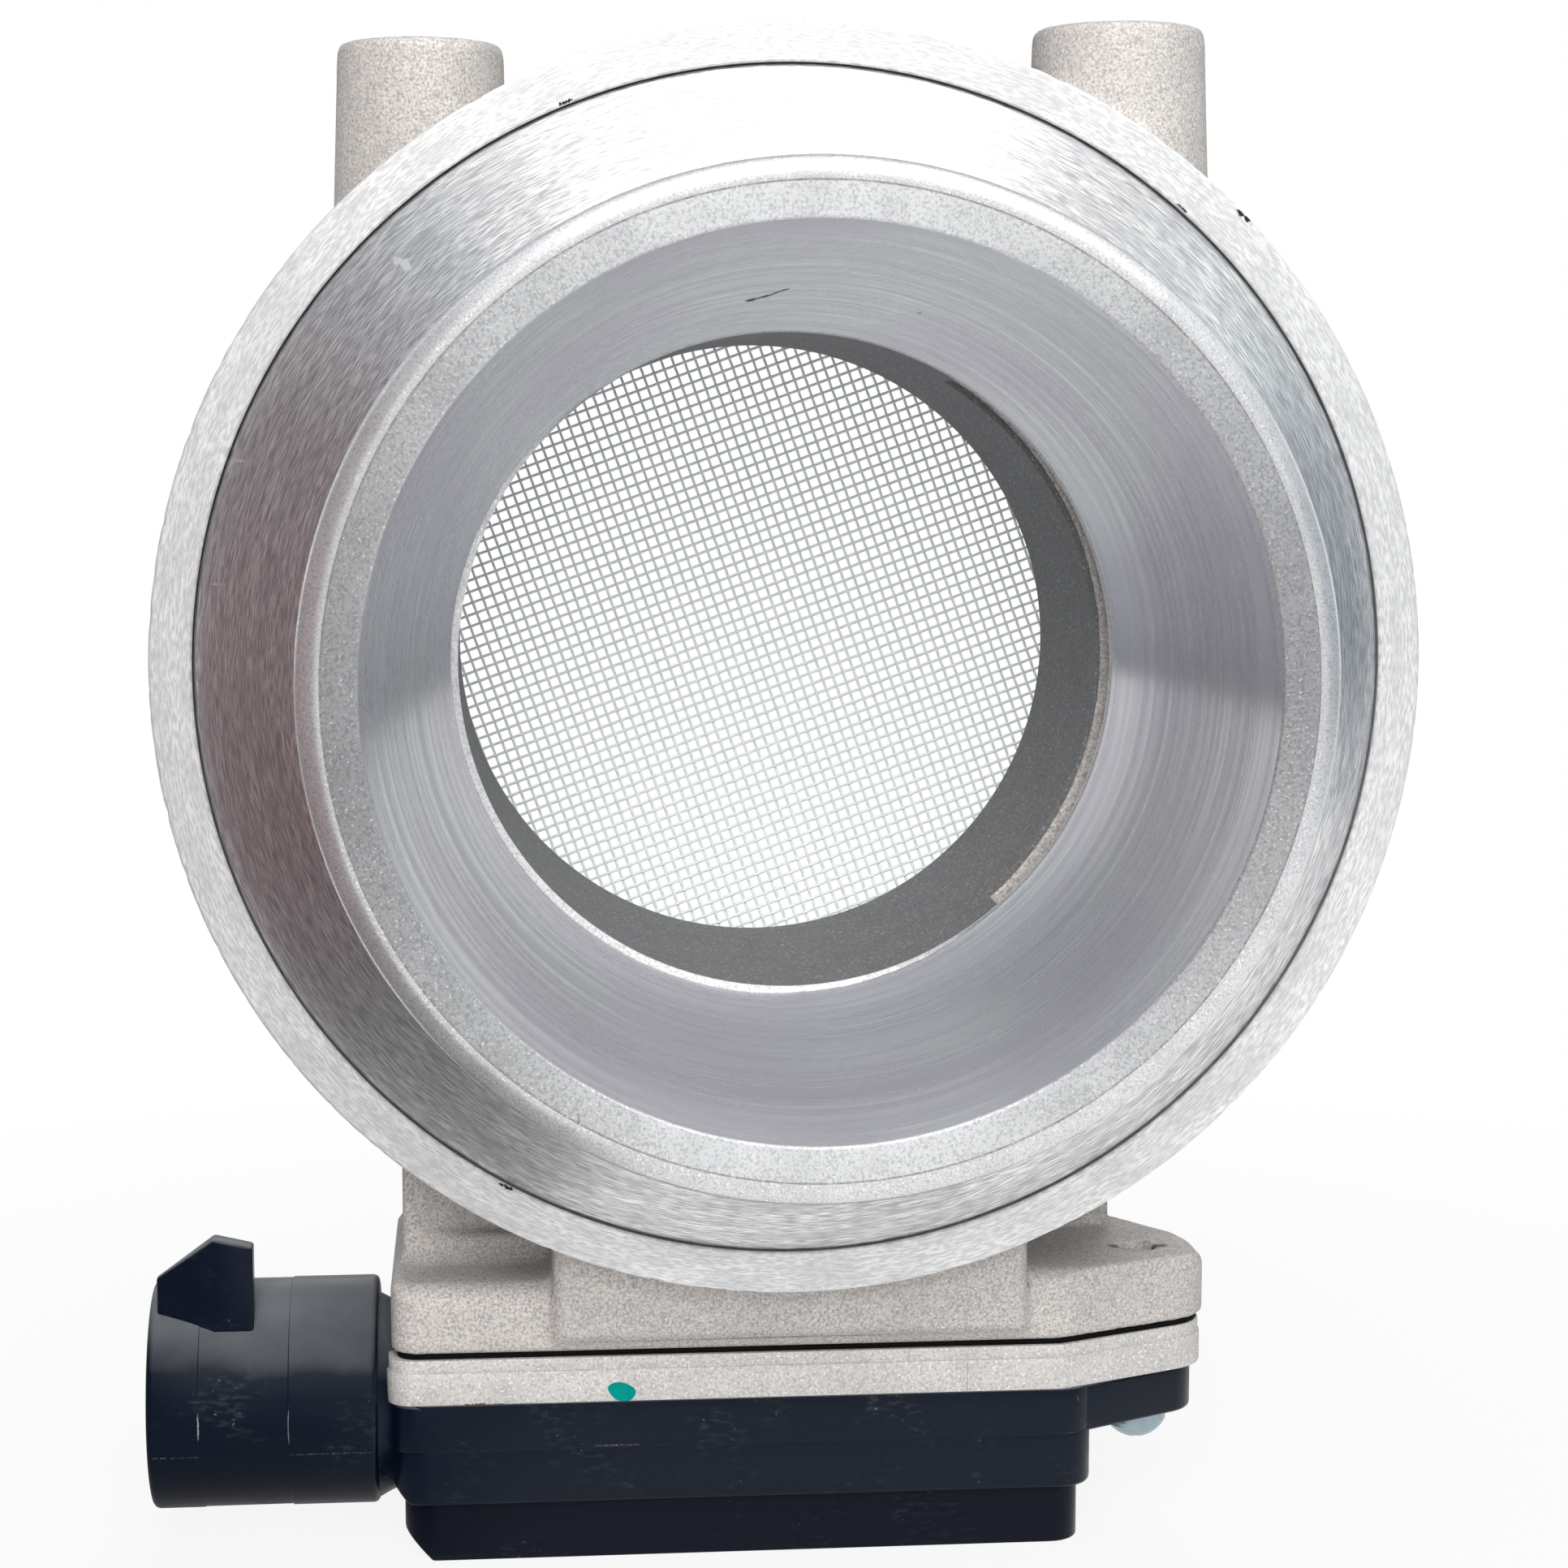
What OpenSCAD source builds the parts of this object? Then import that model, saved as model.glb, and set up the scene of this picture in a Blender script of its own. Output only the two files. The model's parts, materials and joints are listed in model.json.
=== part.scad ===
// Mass airflow sensor with a cast housing, a turned outlet nozzle and a bolted-on sensing module.
// The bore axis is Y and air flows towards -Y. X is right and Z is up, seen from the outlet.
// The origin is on the bore axis, in the machined face of the outlet flange.

/* [Bore] */
// Radius of the main bore, from the screen to the throat
bore_r = 35; // [32:0.5:36]
// Distance from the flange face back to the throat edge
throat_y = 9.3; // [8:0.1:12]
// Distance from the flange face back to the screen seat
screen_y = 55; // [52:0.5:60]
// Axial width of the bypass outlet slot behind the throat
slot_w = 8.5; // [5:0.5:9]
// Upper end of the slot, in degrees above +X
slot_top = 59; // [30:1:70]
// Lower end of the slot, in degrees below +X
slot_bottom = 49; // [30:1:70]

/* [Flange and nozzle] */
// Outer radius of the outlet flange
flange_r = 66.5; // [64:0.5:70]
// Thickness of the outlet flange
flange_t = 8.5; // [7:0.5:11]
// Radius of the recess that the nozzle disc sits in
recess_r = 62.3; // [60:0.1:63]
// Depth of that recess
recess_d = 6; // [4:0.5:7]
// Radial gap round the nozzle disc
seam_gap = 0.3; // [0.1:0.05:0.5]
// Length of the nozzle in front of the flange face
nozzle_l = 31; // [20:0.5:40]
// Bore radius of the nozzle at its mouth
mouth_r = 44.1; // [42:0.1:46]
// Radius of the hose seat on the outlet and the inlet spigot
seat_r = 49.4; // [48:0.1:50]
// Radius of the hose bead on both spigots
bead_r = 50.2; // [49.5:0.1:51]
// Length of the level part of that bead
bead_land = 1; // [0.5:0.1:1.5]
// Length of the inlet spigot behind the screen seat
inlet_l = 25; // [18:1:30]

/* [Casting] */
// Outer radius of the plenum shell behind the flange
plenum_r = 54; // [53.5:0.5:56]
// Depth of the plenum, from the flange face
plenum_y = 22; // [20:0.5:26]
// Outer radius of the bore tube
tube_r = 40.5; // [39:0.5:42]
// Radius of the two mounting bosses at their tops
boss_r = 9.2; // [8:0.1:10]
// Height of the boss tops above the bore axis
boss_top = 67.3; // [66:0.1:72]
// Draft of the bosses, in degrees
boss_draft = 2; // [1:0.5:3]
// Tapping drill of the boss threads
boss_thread_d = 5; // [4.2:0.1:5]
// Depth of the boss threads
boss_thread_l = 18; // [10:1:25]

/* [Sensing module] */
// Left end of the module pad
pad_x0 = -43; // [-45:0.5:-42]
// Right end of the front of the pad, where the slanted edge starts
pad_x1 = 32; // [28:0.5:33]
// Front face of the pad and the module
pad_y0 = 8; // [8:0.5:9]
// Rear face of the pad and the module
pad_y1 = 46; // [44:0.5:48]
// Height of the pad's top face
pad_top = -67; // [-68:0.5:-66]
// Thickness of the pad
pad_t = 7.6; // [6:0.1:9]
// Thickness of the gasket
gasket_t = 0.6; // [0.4:0.1:1]
// Thickness of the base plate
plate_t = 5; // [4:0.5:6]
// Height of the module case
case_h = 11.2; // [10:0.1:13]
// Thickness of the case's screw ears
case_ear_t = 5.3; // [4:0.1:6]
// Height of the cover below the case
cover_h = 6.5; // [5:0.1:8]
// Wall thickness of the case
case_wall = 2.4; // [1.8:0.1:3]
// Shank diameter of the module screws
screw_d = 4; // [3.5:0.5:4]
// Head diameter of the module screws
screw_head_d = 7; // [6.5:0.1:8]

/* [Connector] */
// Outer radius of the connector barrel
barrel_r = 12.5; // [12:0.1:14]
// Length of the connector barrel
barrel_l = 24.7; // [20:0.1:30]
// Radius of the socket inside the barrel
socket_r = 10.6; // [10:0.1:11]
// Depth of the socket
socket_l = 20; // [15:0.5:21]
// Distance between neighbouring terminals
pin_pitch = 3.6; // [3:0.1:4]
// Number of terminals
pin_n = 5; // [3:1:5]

/* [Hidden] */
$fn = 96;
eps = 0.05;
through = 200;

// Levels of the module stack, from the pad down
pad_bottom = pad_top - pad_t;
plate_top = pad_bottom - gasket_t;
plate_bottom = plate_top - plate_t;
case_bottom = plate_bottom - case_h;
cover_bottom = case_bottom - cover_h;

// Screw ears of the module: the right one shows from the outlet, the rear one is behind the neck
ear_right = [42.2, 20];
ear_rear = [-31, 49.5];
screw_spots = [[40.7, 19.1], ear_rear];
pad_ear_r = 6.2;
plate_ear_r = 5.9;
case_ear_r = 4.9;

// Mounting bosses: places of their axes, seen from above
boss_left = [-38.6, 33];
boss_right = [36, 13];
boss_foot_left = 8;
boss_foot_right = 30;
boss_edge = 1;

// Casting details
tube_wall = 3.2;
plenum_inner = bore_r + tube_wall;
plenum_bore = 50;
inlet_bore = 46.4;
entry_round = 2.5;
flange_edge = 1.2;
shell_root = 3;
tube_root = 4;
spigot_step = 2;
bead_inset = 2;
thread_chamfer = 0.5;
inlet_end = screen_y + inlet_l;
web_t = 5;
neck_x0 = -41.8;
neck_x1 = 39.6;
neck_wall = 4;
neck_top = -8;
block_x = [-25.5, 26.3];
block_y0 = 6.5;
block_z = [-73.4, -45];
recess_chamfer = 0.35;
front_edge = 1.3;
pad_soft = 2.6;

// Bypass passage and the probe that stands in it
bypass_r = 5;
bypass_z = -42.3;
probe_y = 32;
probe_r = 8.3;
probe_gap = 0.1;
probe_shoulder_z = -56;
probe_tip_z = -37.7;
finger_r = 4.8;
window_w = 6.8;
window_z = [-47, -39.2];
seal_z = -65;
seal_groove = 1.3;
seal_wire = 1.2;

// Nozzle details
bead_round = 2.2;
rim_round = 0.5;
flare_root_y = -9;
flare_root_r = 4;
disc_edge = 1.2;
nozzle_wall = 4.2;
relief_y = -8;
disc_r = recess_r - seam_gap;
mouth_y = -nozzle_l;
cone_slope = (mouth_r - bore_r) / (throat_y - mouth_y - rim_round);

// Screen and its ring
screen_r = inlet_bore - 0.4;
screen_t = 0.6;
ring_t = 3;
ring_inner = 43;
mesh_pitch = 7.4;
mesh_gap = 6;
mesh_turn = 20;
mesh_n = 6;
mesh_ridge = 0.7;

// Case and cover details
case_x0 = -43.1;
case_x1 = 34.2;
case_corner = 4;
cover_in = 1.4;
cover_chamfer = 2.2;
cover_wall = 2;
cover_lip = 2;
plate_seam = 1.4;
plate_in = 0.15;
gasket_in = 0.7;

// Connector details, from the case outwards
barrel_y = pad_y0 + barrel_r;
barrel_z = -81.5;
barrel_x1 = -44.5;
barrel_x0 = barrel_x1 - barrel_l;
collar_r = 10.5;
collar_drop = 0.8;
collar_x1 = -43.8;
fin_y = 12;
fin_t = 3;
pin_z = -84;
pin_w = 1.5;
pin_t = 0.8;
pin_x0 = barrel_x0 + 7;
pin_x1 = -37.5;

// Board and what it carries
board_t = 0.8;
board_x = [-34, 27];
board_y = [12.5, 41.5];
board_face = plate_bottom - board_t;
wire_pin_d = 0.5;
pin_spots = [for (dy = [-1.3, 1.3], dx = [-2.4, 2.4]) [dx, probe_y + dy]];
hot_wire_z = -41.2;
cold_wire_z = -44;
element_r = 0.35;
element_l = 5.4;

// Points of an arc round centre c, from angle a0 to a1 in n steps
function arc(c, r, a0, a1, n = 6) =
    [for (i = [0:n]) let (a = a0 + (a1 - a0) * i / n) c + r * [cos(a), sin(a)]];

// Angle of the outward normal of the belt between circles p and q, each [x, y, r]
function belt_normal(p, q) = let (d = [q[0] - p[0], q[1] - p[1]])
    atan2(d[1], d[0]) - 90 + asin((p[2] - q[2]) / norm(d));

// Outline of a belt stretched round circles [x, y, r] that are given anticlockwise
function belt(c, n = 6) = [for (i = [0:len(c) - 1])
    let (a0 = belt_normal(c[(i + len(c) - 1) % len(c)], c[i]),
         a1 = belt_normal(c[i], c[(i + 1) % len(c)]),
         a2 = a1 < a0 ? a1 + 360 : a1)
    each arc([c[i][0], c[i][1]], c[i][2], a0, a2, n)];

// Outline of the module's pad, gasket, plate and case flange, with the two screw ears
function module_outline(x0, ear_r, inset = 0) = belt([
    [x0 + 3, pad_y0 + 3, 3 - inset],
    [pad_x1 - 2, pad_y0 + 2, 2 - inset],
    [ear_right[0], ear_right[1], ear_r - inset],
    [pad_x1 - 1, pad_y1 - 4, 4 - inset],
    [ear_rear[0], ear_rear[1], ear_r - inset],
    [x0 + 4, pad_y1 - 4, 4 - inset]]);

// Outline of a rectangle with rounded corners
function round_rect(x0, x1, y0, y1, r) = belt([
    [x0 + r, y0 + r, r], [x1 - r, y0 + r, r], [x1 - r, y1 - r, r], [x0 + r, y1 - r, r]]);

// Turns a shape drawn round Z so that it lies round Y
module along_y(y = 0) {
    translate([0, y, 0]) rotate([-90, 0, 0]) children();
}

// Turns a shape drawn round Z so that it lies round X
module along_x(x = 0) {
    translate([x, 0, 0]) rotate([0, 90, 0]) children();
}

// Extrudes an outline upwards from level z0 to z1
module slab(points, z0, z1) {
    translate([0, 0, z0]) linear_extrude(z1 - z0) polygon(points);
}

// Extrudes an outline drawn in X and Z, from y0 to y1
module slab_y(points, y0, y1) {
    translate([0, y1, 0]) rotate([90, 0, 0]) linear_extrude(y1 - y0) polygon(points);
}

// Extrudes an outline drawn in Y and Z, from x0 to x1
module slab_x(points, x0, x1) {
    translate([x0, 0, 0]) rotate([90, 0, 90]) linear_extrude(x1 - x0) polygon(points);
}

// Box between two corners
module block(lo, hi) {
    translate(lo) cube(hi - lo);
}

// Vertical hole or pin between two levels
module post(spot, d, z0, z1) {
    translate([spot[0], spot[1], z0]) cylinder(d = d, h = z1 - z0, $fn = 48);
}

// Turned outside of the casting: flange, plenum shell, bore tube and inlet spigot
module casting_turned() {
    bead_y = inlet_end - bead_inset;
    along_y() rotate_extrude() polygon(concat(
        [[0, 0], [flange_r, 0]],
        arc([flange_r - flange_edge, flange_t - flange_edge], flange_edge, 0, 90, 4),
        arc([plenum_r + shell_root, flange_t + shell_root], shell_root, -90, -180, 5),
        arc([plenum_r - shell_root, plenum_y - 1], shell_root, 0, 50, 4),
        arc([tube_r + tube_root, plenum_y + 10], tube_root, -140, -180, 4),
        arc([tube_r + tube_root, screen_y - 9], tube_root, 180, 140, 4),
        arc([seat_r - spigot_step, screen_y - 3], spigot_step, -50, 0, 4),
        [[seat_r, bead_y - bead_land - bead_round]],
        arc([bead_r - bead_round, bead_y - bead_land], bead_round, -55, 0, 4),
        arc([bead_r - bead_round, bead_y], bead_round, 0, 90, 5),
        [[0, bead_y + bead_round]]));
}

// Tapered boss with a rounded top edge
module boss(spot, foot) {
    r0 = boss_r + (boss_top - foot) * tan(boss_draft);
    translate([spot[0], spot[1], 0]) rotate_extrude() polygon(concat(
        [[0, foot - 8], [4, foot - 8], [r0, foot]],
        arc([boss_r - boss_edge, boss_top - boss_edge], boss_edge, 0, 90, 5),
        [[0, boss_top]]));
}

// Web that ties the left boss to the bore tube
module boss_web() {
    slab_y([[boss_left[0], 55], [-26, 46], [-6, tube_r], [-6, bore_r + 1], [-32, 12], [boss_left[0], 5]],
           boss_left[1] - web_t / 2, boss_left[1] + web_t / 2);
}

// Pad that the module bolts to, with soft upper edges
module pad() {
    x1 = ear_right[0] + pad_ear_r;
    side = 0.8;
    intersection() {
        slab(module_outline(pad_x0, pad_ear_r), pad_bottom, pad_top);
        slab_x(concat([[through, pad_bottom], [through, pad_top]],
                      arc([pad_y0 + pad_soft, pad_top - pad_soft], pad_soft, 90, 180),
                      [[pad_y0, pad_bottom]]), -through, through);
        slab_y(concat([[pad_x0, pad_bottom]],
                      arc([pad_x0 + side, pad_top - side], side, 180, 90, 4),
                      arc([x1 - pad_soft, pad_top - pad_soft], pad_soft, 90, 0),
                      [[x1, pad_bottom]]), 0, through);
    }
}

// Hollow neck between the bore tube and the pad, open at the back
module neck() {
    outline = [[neck_x0, 19.5], [-26, 23], [26, 27.5], [neck_x1, 30], [neck_x1, pad_y1], [neck_x0, pad_y1]];
    difference() {
        slab(outline, pad_top - 1, neck_top);
        block([neck_x0 + neck_wall, 31, pad_top + 3], [-12, 60, 0]);
        block([12, 34, pad_top + 3], [neck_x1 - neck_wall, 60, 0]);
    }
    // Fillet along the foot of the neck, where the casting runs out onto the pad
    fillet = 3;
    slab_x(concat([[23, pad_top - 1], [23, pad_top + fillet]],
                  arc([19.5 - fillet, pad_top + fillet], fillet, 0, -90, 5),
                  [[19.5 - fillet, pad_top - 1]]), neck_x0 + 1, block_x[0] + 1);
}

// Boss under the flange, in front of the pad
module front_block() {
    r = front_edge;
    intersection() {
        slab(round_rect(block_x[0], block_x[1], block_y0, 26, r), block_z[0], block_z[1]);
        slab_x(concat([[30, block_z[1]], [block_y0, block_z[1]]],
                      arc([block_y0 + r, block_z[0] + r], r, 180, 270, 4),
                      [[30, block_z[0]]]), -through, through);
    }
}

// Solid round the bypass passage and the probe bore
module bypass_boss() {
    wall = 3.5;
    along_y(plenum_y - 2) translate([0, -bypass_z, 0])
        cylinder(r = bypass_r + wall, h = screen_y - plenum_y);
    post([0, probe_y], 2 * (probe_r + wall), pad_top - 1, bypass_z);
}

// Sector of a disc between two angles, for the slot in the end of the bore tube
module slot_cut() {
    reach = 60;
    angles = [for (i = [0:6]) -slot_bottom + (slot_top + slot_bottom) * i / 6];
    intersection() {
        along_y(throat_y - 1) difference() {
            cylinder(r = plenum_inner + 1, h = slot_w + 1);
            translate([0, 0, -1]) cylinder(r = bore_r - 2, h = slot_w + 3);
        }
        slab_y(concat([[0, 0]], [for (a = angles) reach * [cos(a), sin(a)]]),
               throat_y - 2, throat_y + slot_w + 2);
    }
}

// Rounded entry of the bore, where the air comes in through the screen
module bore_entry() {
    along_y() rotate_extrude() polygon(concat(
        [[0, screen_y - entry_round]],
        arc([bore_r + entry_round, screen_y - entry_round], entry_round, 180, 90),
        [[bore_r + entry_round, screen_y + 1], [0, screen_y + 1]]));
}

// Tapped hole of a mounting boss, with its chamfer
module boss_thread(spot) {
    r = boss_thread_d / 2;
    post(spot, boss_thread_d, boss_top - boss_thread_l, boss_top + 1);
    translate([spot[0], spot[1], boss_top - thread_chamfer])
        cylinder(r1 = r, r2 = r + 2 * thread_chamfer, h = 2 * thread_chamfer, $fn = 48);
}

// Ring-shaped chamber round the end of the bore tube, which the slot opens into
module plenum_cut() {
    along_y() rotate_extrude() polygon([
        [plenum_inner, throat_y - eps], [plenum_bore, throat_y - eps], [plenum_bore, plenum_y - 3],
        [plenum_bore - 3, plenum_y], [plenum_inner + 2, plenum_y], [plenum_inner, plenum_y - 2]]);
}

module housing() {
    color([0.66, 0.645, 0.62])
    difference() {
        union() {
            casting_turned();
            boss(boss_left, boss_foot_left);
            boss(boss_right, boss_foot_right);
            boss_web();
            pad();
            neck();
            front_block();
            bypass_boss();
        }
        // Recess and pilot bore for the nozzle
        along_y(-1) cylinder(r = recess_r, h = recess_d + 1);
        along_y(-eps) cylinder(r1 = recess_r + recess_chamfer + eps, r2 = recess_r, h = recess_chamfer);
        along_y(recess_d - 1) cylinder(r = plenum_bore, h = throat_y - recess_d + 1);
        along_y(-1) cylinder(r = bore_r, h = through);
        plenum_cut();
        slot_cut();
        bore_entry();
        along_y(screen_y) cylinder(r = inlet_bore, h = through);
        // Bypass passage, from the screen seat to the plenum
        along_y(plenum_y - 3) translate([0, -bypass_z, 0])
            cylinder(r = bypass_r, h = screen_y - plenum_y + 4);
        // Probe bore, with the narrow end that the finger passes through
        post([0, probe_y], 2 * (probe_r + probe_gap), pad_bottom - 1, probe_shoulder_z);
        post([0, probe_y], 2 * (finger_r + probe_gap), probe_shoulder_z - 1, probe_tip_z + 0.2);
        for (s = screw_spots) post(s, screw_d, pad_bottom - 1, pad_top + 1);
        for (b = [boss_left, boss_right]) boss_thread(b);
    }
}

// Turned nozzle, drawn as its section: bore, rim, bead, hose seat, flare, disc, pilot and the
// relief behind that keeps the wall even
module outlet_nozzle() {
    rim_y = mouth_y + bead_round;
    color([0.78, 0.78, 0.79])
    along_y() rotate_extrude() polygon(concat(
        [[bore_r, throat_y], [mouth_r, mouth_y + rim_round]],
        [[mouth_r + rim_round, mouth_y]],
        arc([bead_r - bead_round, rim_y], bead_round, -90, 0),
        arc([bead_r - bead_round, rim_y + bead_land], bead_round, 0, 55, 4),
        [[seat_r, rim_y + bead_land + bead_round]],
        arc([seat_r + flare_root_r, flare_root_y - flare_root_r], flare_root_r, 180, 128, 5),
        arc([disc_r - disc_edge, 0.9], disc_edge, -52, 0, 4),
        [[disc_r, recess_d], [plenum_bore, recess_d], [plenum_bore, throat_y]],
        [[plenum_bore - nozzle_wall, throat_y], [plenum_bore - nozzle_wall, relief_y]],
        [[bore_r + cone_slope * (throat_y - relief_y) + nozzle_wall, relief_y]],
        [[bore_r + nozzle_wall, throat_y]]));
}

// Screen: a framed wall with square gaps, turned as the real weave is
module inlet_screen() {
    color([0.86, 0.88, 0.88])
    difference() {
        union() {
            along_y(screen_y) cylinder(r = screen_r, h = screen_t);
            // Raised wires between the gaps
            intersection() {
                along_y(screen_y) cylinder(r = ring_inner - 0.5, h = screen_t + 1);
                for (i = [-mesh_n:mesh_n + 1])
                    translate([0, screen_y, 0]) rotate([0, -mesh_turn, 0]) {
                        translate([(i - 0.5) * mesh_pitch - mesh_ridge / 2, 0, -screen_r])
                            cube([mesh_ridge, screen_t + 0.3, 2 * screen_r]);
                        translate([-screen_r, 0, (i - 0.5) * mesh_pitch - mesh_ridge / 2])
                            cube([2 * screen_r, screen_t + 0.3, mesh_ridge]);
                    }
            }
        }
        for (i = [-mesh_n:mesh_n], j = [-mesh_n:mesh_n])
            if (norm([i, j]) * mesh_pitch < ring_inner - 0.72 * mesh_gap)
                translate([0, screen_y - 1, 0]) rotate([0, -mesh_turn, 0])
                    translate([i * mesh_pitch - mesh_gap / 2, 0, j * mesh_pitch - mesh_gap / 2])
                        cube([mesh_gap, screen_t + 3, mesh_gap]);
    }
}

module screen_ring() {
    color([0.3, 0.3, 0.31])
    along_y(screen_y + screen_t) rotate_extrude() polygon([
        [ring_inner, 0], [inlet_bore, 0], [inlet_bore, ring_t - 0.8], [inlet_bore - 0.8, ring_t],
        [ring_inner + 1.5, ring_t], [ring_inner, 1.2]]);
}

module base_gasket() {
    color([0.07, 0.07, 0.08])
    difference() {
        slab(module_outline(pad_x0, pad_ear_r, gasket_in), plate_top, pad_bottom);
        post([0, probe_y], 2 * (probe_r + probe_gap), plate_top - 1, pad_bottom + 1);
        for (s = screw_spots) post(s, screw_d + 0.3, plate_top - 1, pad_bottom + 1);
    }
}

module base_plate() {
    color([0.74, 0.73, 0.71])
    difference() {
        union() {
            slab(module_outline(case_x0 - 0.4, plate_ear_r), plate_bottom, plate_top - plate_seam);
            slab(module_outline(case_x0 - 0.4, plate_ear_r, plate_in),
                 plate_top - plate_seam - eps, plate_top);
        }
        post([0, probe_y], 2 * (probe_r + probe_gap), plate_bottom - 1, plate_top + 1);
        post([0, probe_y], 2 * (probe_r + 2), plate_bottom - 1, plate_bottom + 1.8);
        for (s = screw_spots) post(s, screw_d + 0.3, plate_bottom - 1, plate_top + 1);
    }
}

// Round socket of the connector, with its collar and the locking fin
module connector_barrel() {
    translate([0, barrel_y, barrel_z]) along_x(barrel_x0) rotate_extrude() polygon([
        [0, 0], [barrel_r - 0.5, 0], [barrel_r, 0.5], [barrel_r, barrel_l - 0.6],
        [barrel_r - 0.6, barrel_l], [0, barrel_l]]);
    translate([0, barrel_y, barrel_z - collar_drop]) along_x(barrel_x1 - 1)
        cylinder(r = collar_r, h = collar_x1 - barrel_x1 + 1);
    block([barrel_x1 - 1, barrel_y - 8, case_bottom + 1.5], [case_x0 + 1, barrel_y + 8, plate_bottom]);
    // Locking fin: its rear slope holds the latch of the plug
    fin = [[-68.3, -66.9], [-62, -62.3], [-57.8, -63.3], [-57.8, barrel_z + 6], [-68.3, barrel_z + 6]];
    difference() {
        slab_y(fin, fin_y, fin_y + fin_t);
        translate([-62, fin_y, -90]) rotate([0, 0, 162]) cube([12, 6, 40]);
    }
}

module module_case() {
    color([0.1, 0.105, 0.12])
    difference() {
        union() {
            slab(module_outline(case_x0, case_ear_r), plate_bottom - case_ear_t, plate_bottom);
            slab(round_rect(case_x0, case_x1, pad_y0, pad_y1, case_corner), case_bottom, plate_bottom);
            connector_barrel();
        }
        slab(round_rect(case_x0 + case_wall, case_x1 - case_wall,
                        pad_y0 + case_wall, pad_y1 - case_wall, case_corner - case_wall),
             case_bottom - 1, plate_bottom + 1);
        // Socket of the connector
        translate([0, barrel_y, barrel_z]) along_x(barrel_x0 - 1) cylinder(r = socket_r, h = socket_l + 1);
        for (i = [0:pin_n - 1]) terminal(i);
        for (s = screw_spots) post(s, screw_d + 0.3, case_bottom - 1, plate_bottom + 1);
        // Flats under the ears, where the screw heads bear
        post(ear_rear, screw_head_d + 1.5, case_bottom - 1, plate_bottom - case_ear_t);
    }
}

module module_cover() {
    x0 = case_x0 + cover_in;
    x1 = case_x1 - cover_in;
    y0 = pad_y0 + cover_in;
    y1 = pad_y1 - cover_in;
    c = cover_chamfer;
    color([0.085, 0.09, 0.105])
    difference() {
        union() {
            intersection() {
                slab(round_rect(x0, x1, y0, y1, 3.5), cover_bottom, case_bottom);
                slab_y([[x0, case_bottom], [x0, cover_bottom + c], [x0 + c, cover_bottom],
                        [x1 - c, cover_bottom], [x1, cover_bottom + c], [x1, case_bottom]], y0 - 1, y1 + 1);
                slab_x([[y0, case_bottom], [y0, cover_bottom + 1], [y0 + 1, cover_bottom],
                        [y1 - c, cover_bottom], [y1, cover_bottom + c], [y1, case_bottom]], x0 - 1, x1 + 1);
            }
            // Lip that locates the cover inside the case
            slab(round_rect(case_x0 + case_wall + 0.1, case_x1 - case_wall - 0.1,
                            pad_y0 + case_wall + 0.1, pad_y1 - case_wall - 0.1, 1.4),
                 case_bottom - eps, case_bottom + cover_lip);
        }
        slab(round_rect(x0 + case_wall, x1 - case_wall, y0 + case_wall, y1 - case_wall, 1),
             cover_bottom + cover_wall, case_bottom + cover_lip + 1);
    }
}

// Pan head screw with a cross recess, standing on its head level
module pan_screw(l) {
    head_h = 3.5;
    crown_r = 3.8;
    difference() {
        union() {
            cylinder(d = screw_d, h = l - 0.6, $fn = 48);
            translate([0, 0, l - 0.6]) cylinder(d1 = screw_d, d2 = screw_d - 1.2, h = 0.6, $fn = 48);
            rotate_extrude() polygon(concat(
                [[0, 0], [screw_head_d / 2, 0], [screw_head_d / 2, -1]],
                arc([0, crown_r - head_h], crown_r, -25, -90)));
        }
        for (a = [0, 90]) rotate([0, 0, a]) block([-1.7, -0.4, -head_h - 1], [1.7, 0.4, -1.2]);
    }
}

module module_screws() {
    color([0.74, 0.79, 0.84])
    for (s = screw_spots) translate([s[0], s[1], plate_bottom - case_ear_t]) pan_screw(17.4);
}

module circuit_board() {
    color([0.88, 0.87, 0.83])
    difference() {
        block([board_x[0], board_y[0], board_face], [board_x[1], board_y[1], plate_bottom]);
        for (p = pin_spots) post(p, wire_pin_d, board_face - 1, plate_bottom + 1);
    }
}

// Flat chip under the board, with a row of feet along each long side
module chip(x, y, w, d, h, feet) {
    block([x, y, board_face - h], [x + w, y + d, board_face - 0.15]);
    pitch = w / feet;
    for (i = [0:feet - 1], side = [0, 1])
        block([x + (i + 0.3) * pitch, side ? y + d - 0.4 : y - 1, board_face - 0.5],
              [x + (i + 0.7) * pitch, side ? y + d + 1 : y + 0.4, board_face]);
}

module power_transistor() {
    color([0.15, 0.15, 0.16])
    union() {
        block([-30, 28, board_face - 2.3], [-20.5, 36, board_face - 0.4]);
        block([-29.5, 28, board_face - 0.5], [-21, 37.5, board_face]);
        for (x = [-28, -23.5]) block([x - 0.5, 25.5, board_face - 0.6], [x + 0.5, 28.5, board_face]);
    }
}

module control_chip() {
    color([0.13, 0.13, 0.14]) chip(-14, 16, 10, 6, 2, 7);
}

module signal_chip() {
    color([0.13, 0.13, 0.14]) chip(12, 30, 6, 5, 1.8, 4);
}

module capacitors() {
    color([0.72, 0.6, 0.42])
    for (p = [[-28, 16], [2, 16.5], [14, 17], [19.5, 24]])
        block([p[0], p[1], board_face - 1.6], [p[0] + 3.4, p[1] + 2, board_face]);
}

module chip_resistors() {
    color([0.2, 0.2, 0.22])
    for (i = [0:4], j = [0, 1])
        block([-18 + 7.5 * i, 25 + 12.4 * j, board_face - 0.6], [-16 + 7.5 * i, 26.2 + 12.4 * j, board_face]);
}

// Where a terminal lies along Y
function terminal_y(i) = barrel_y + (i - (pin_n - 1) / 2) * pin_pitch;

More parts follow.
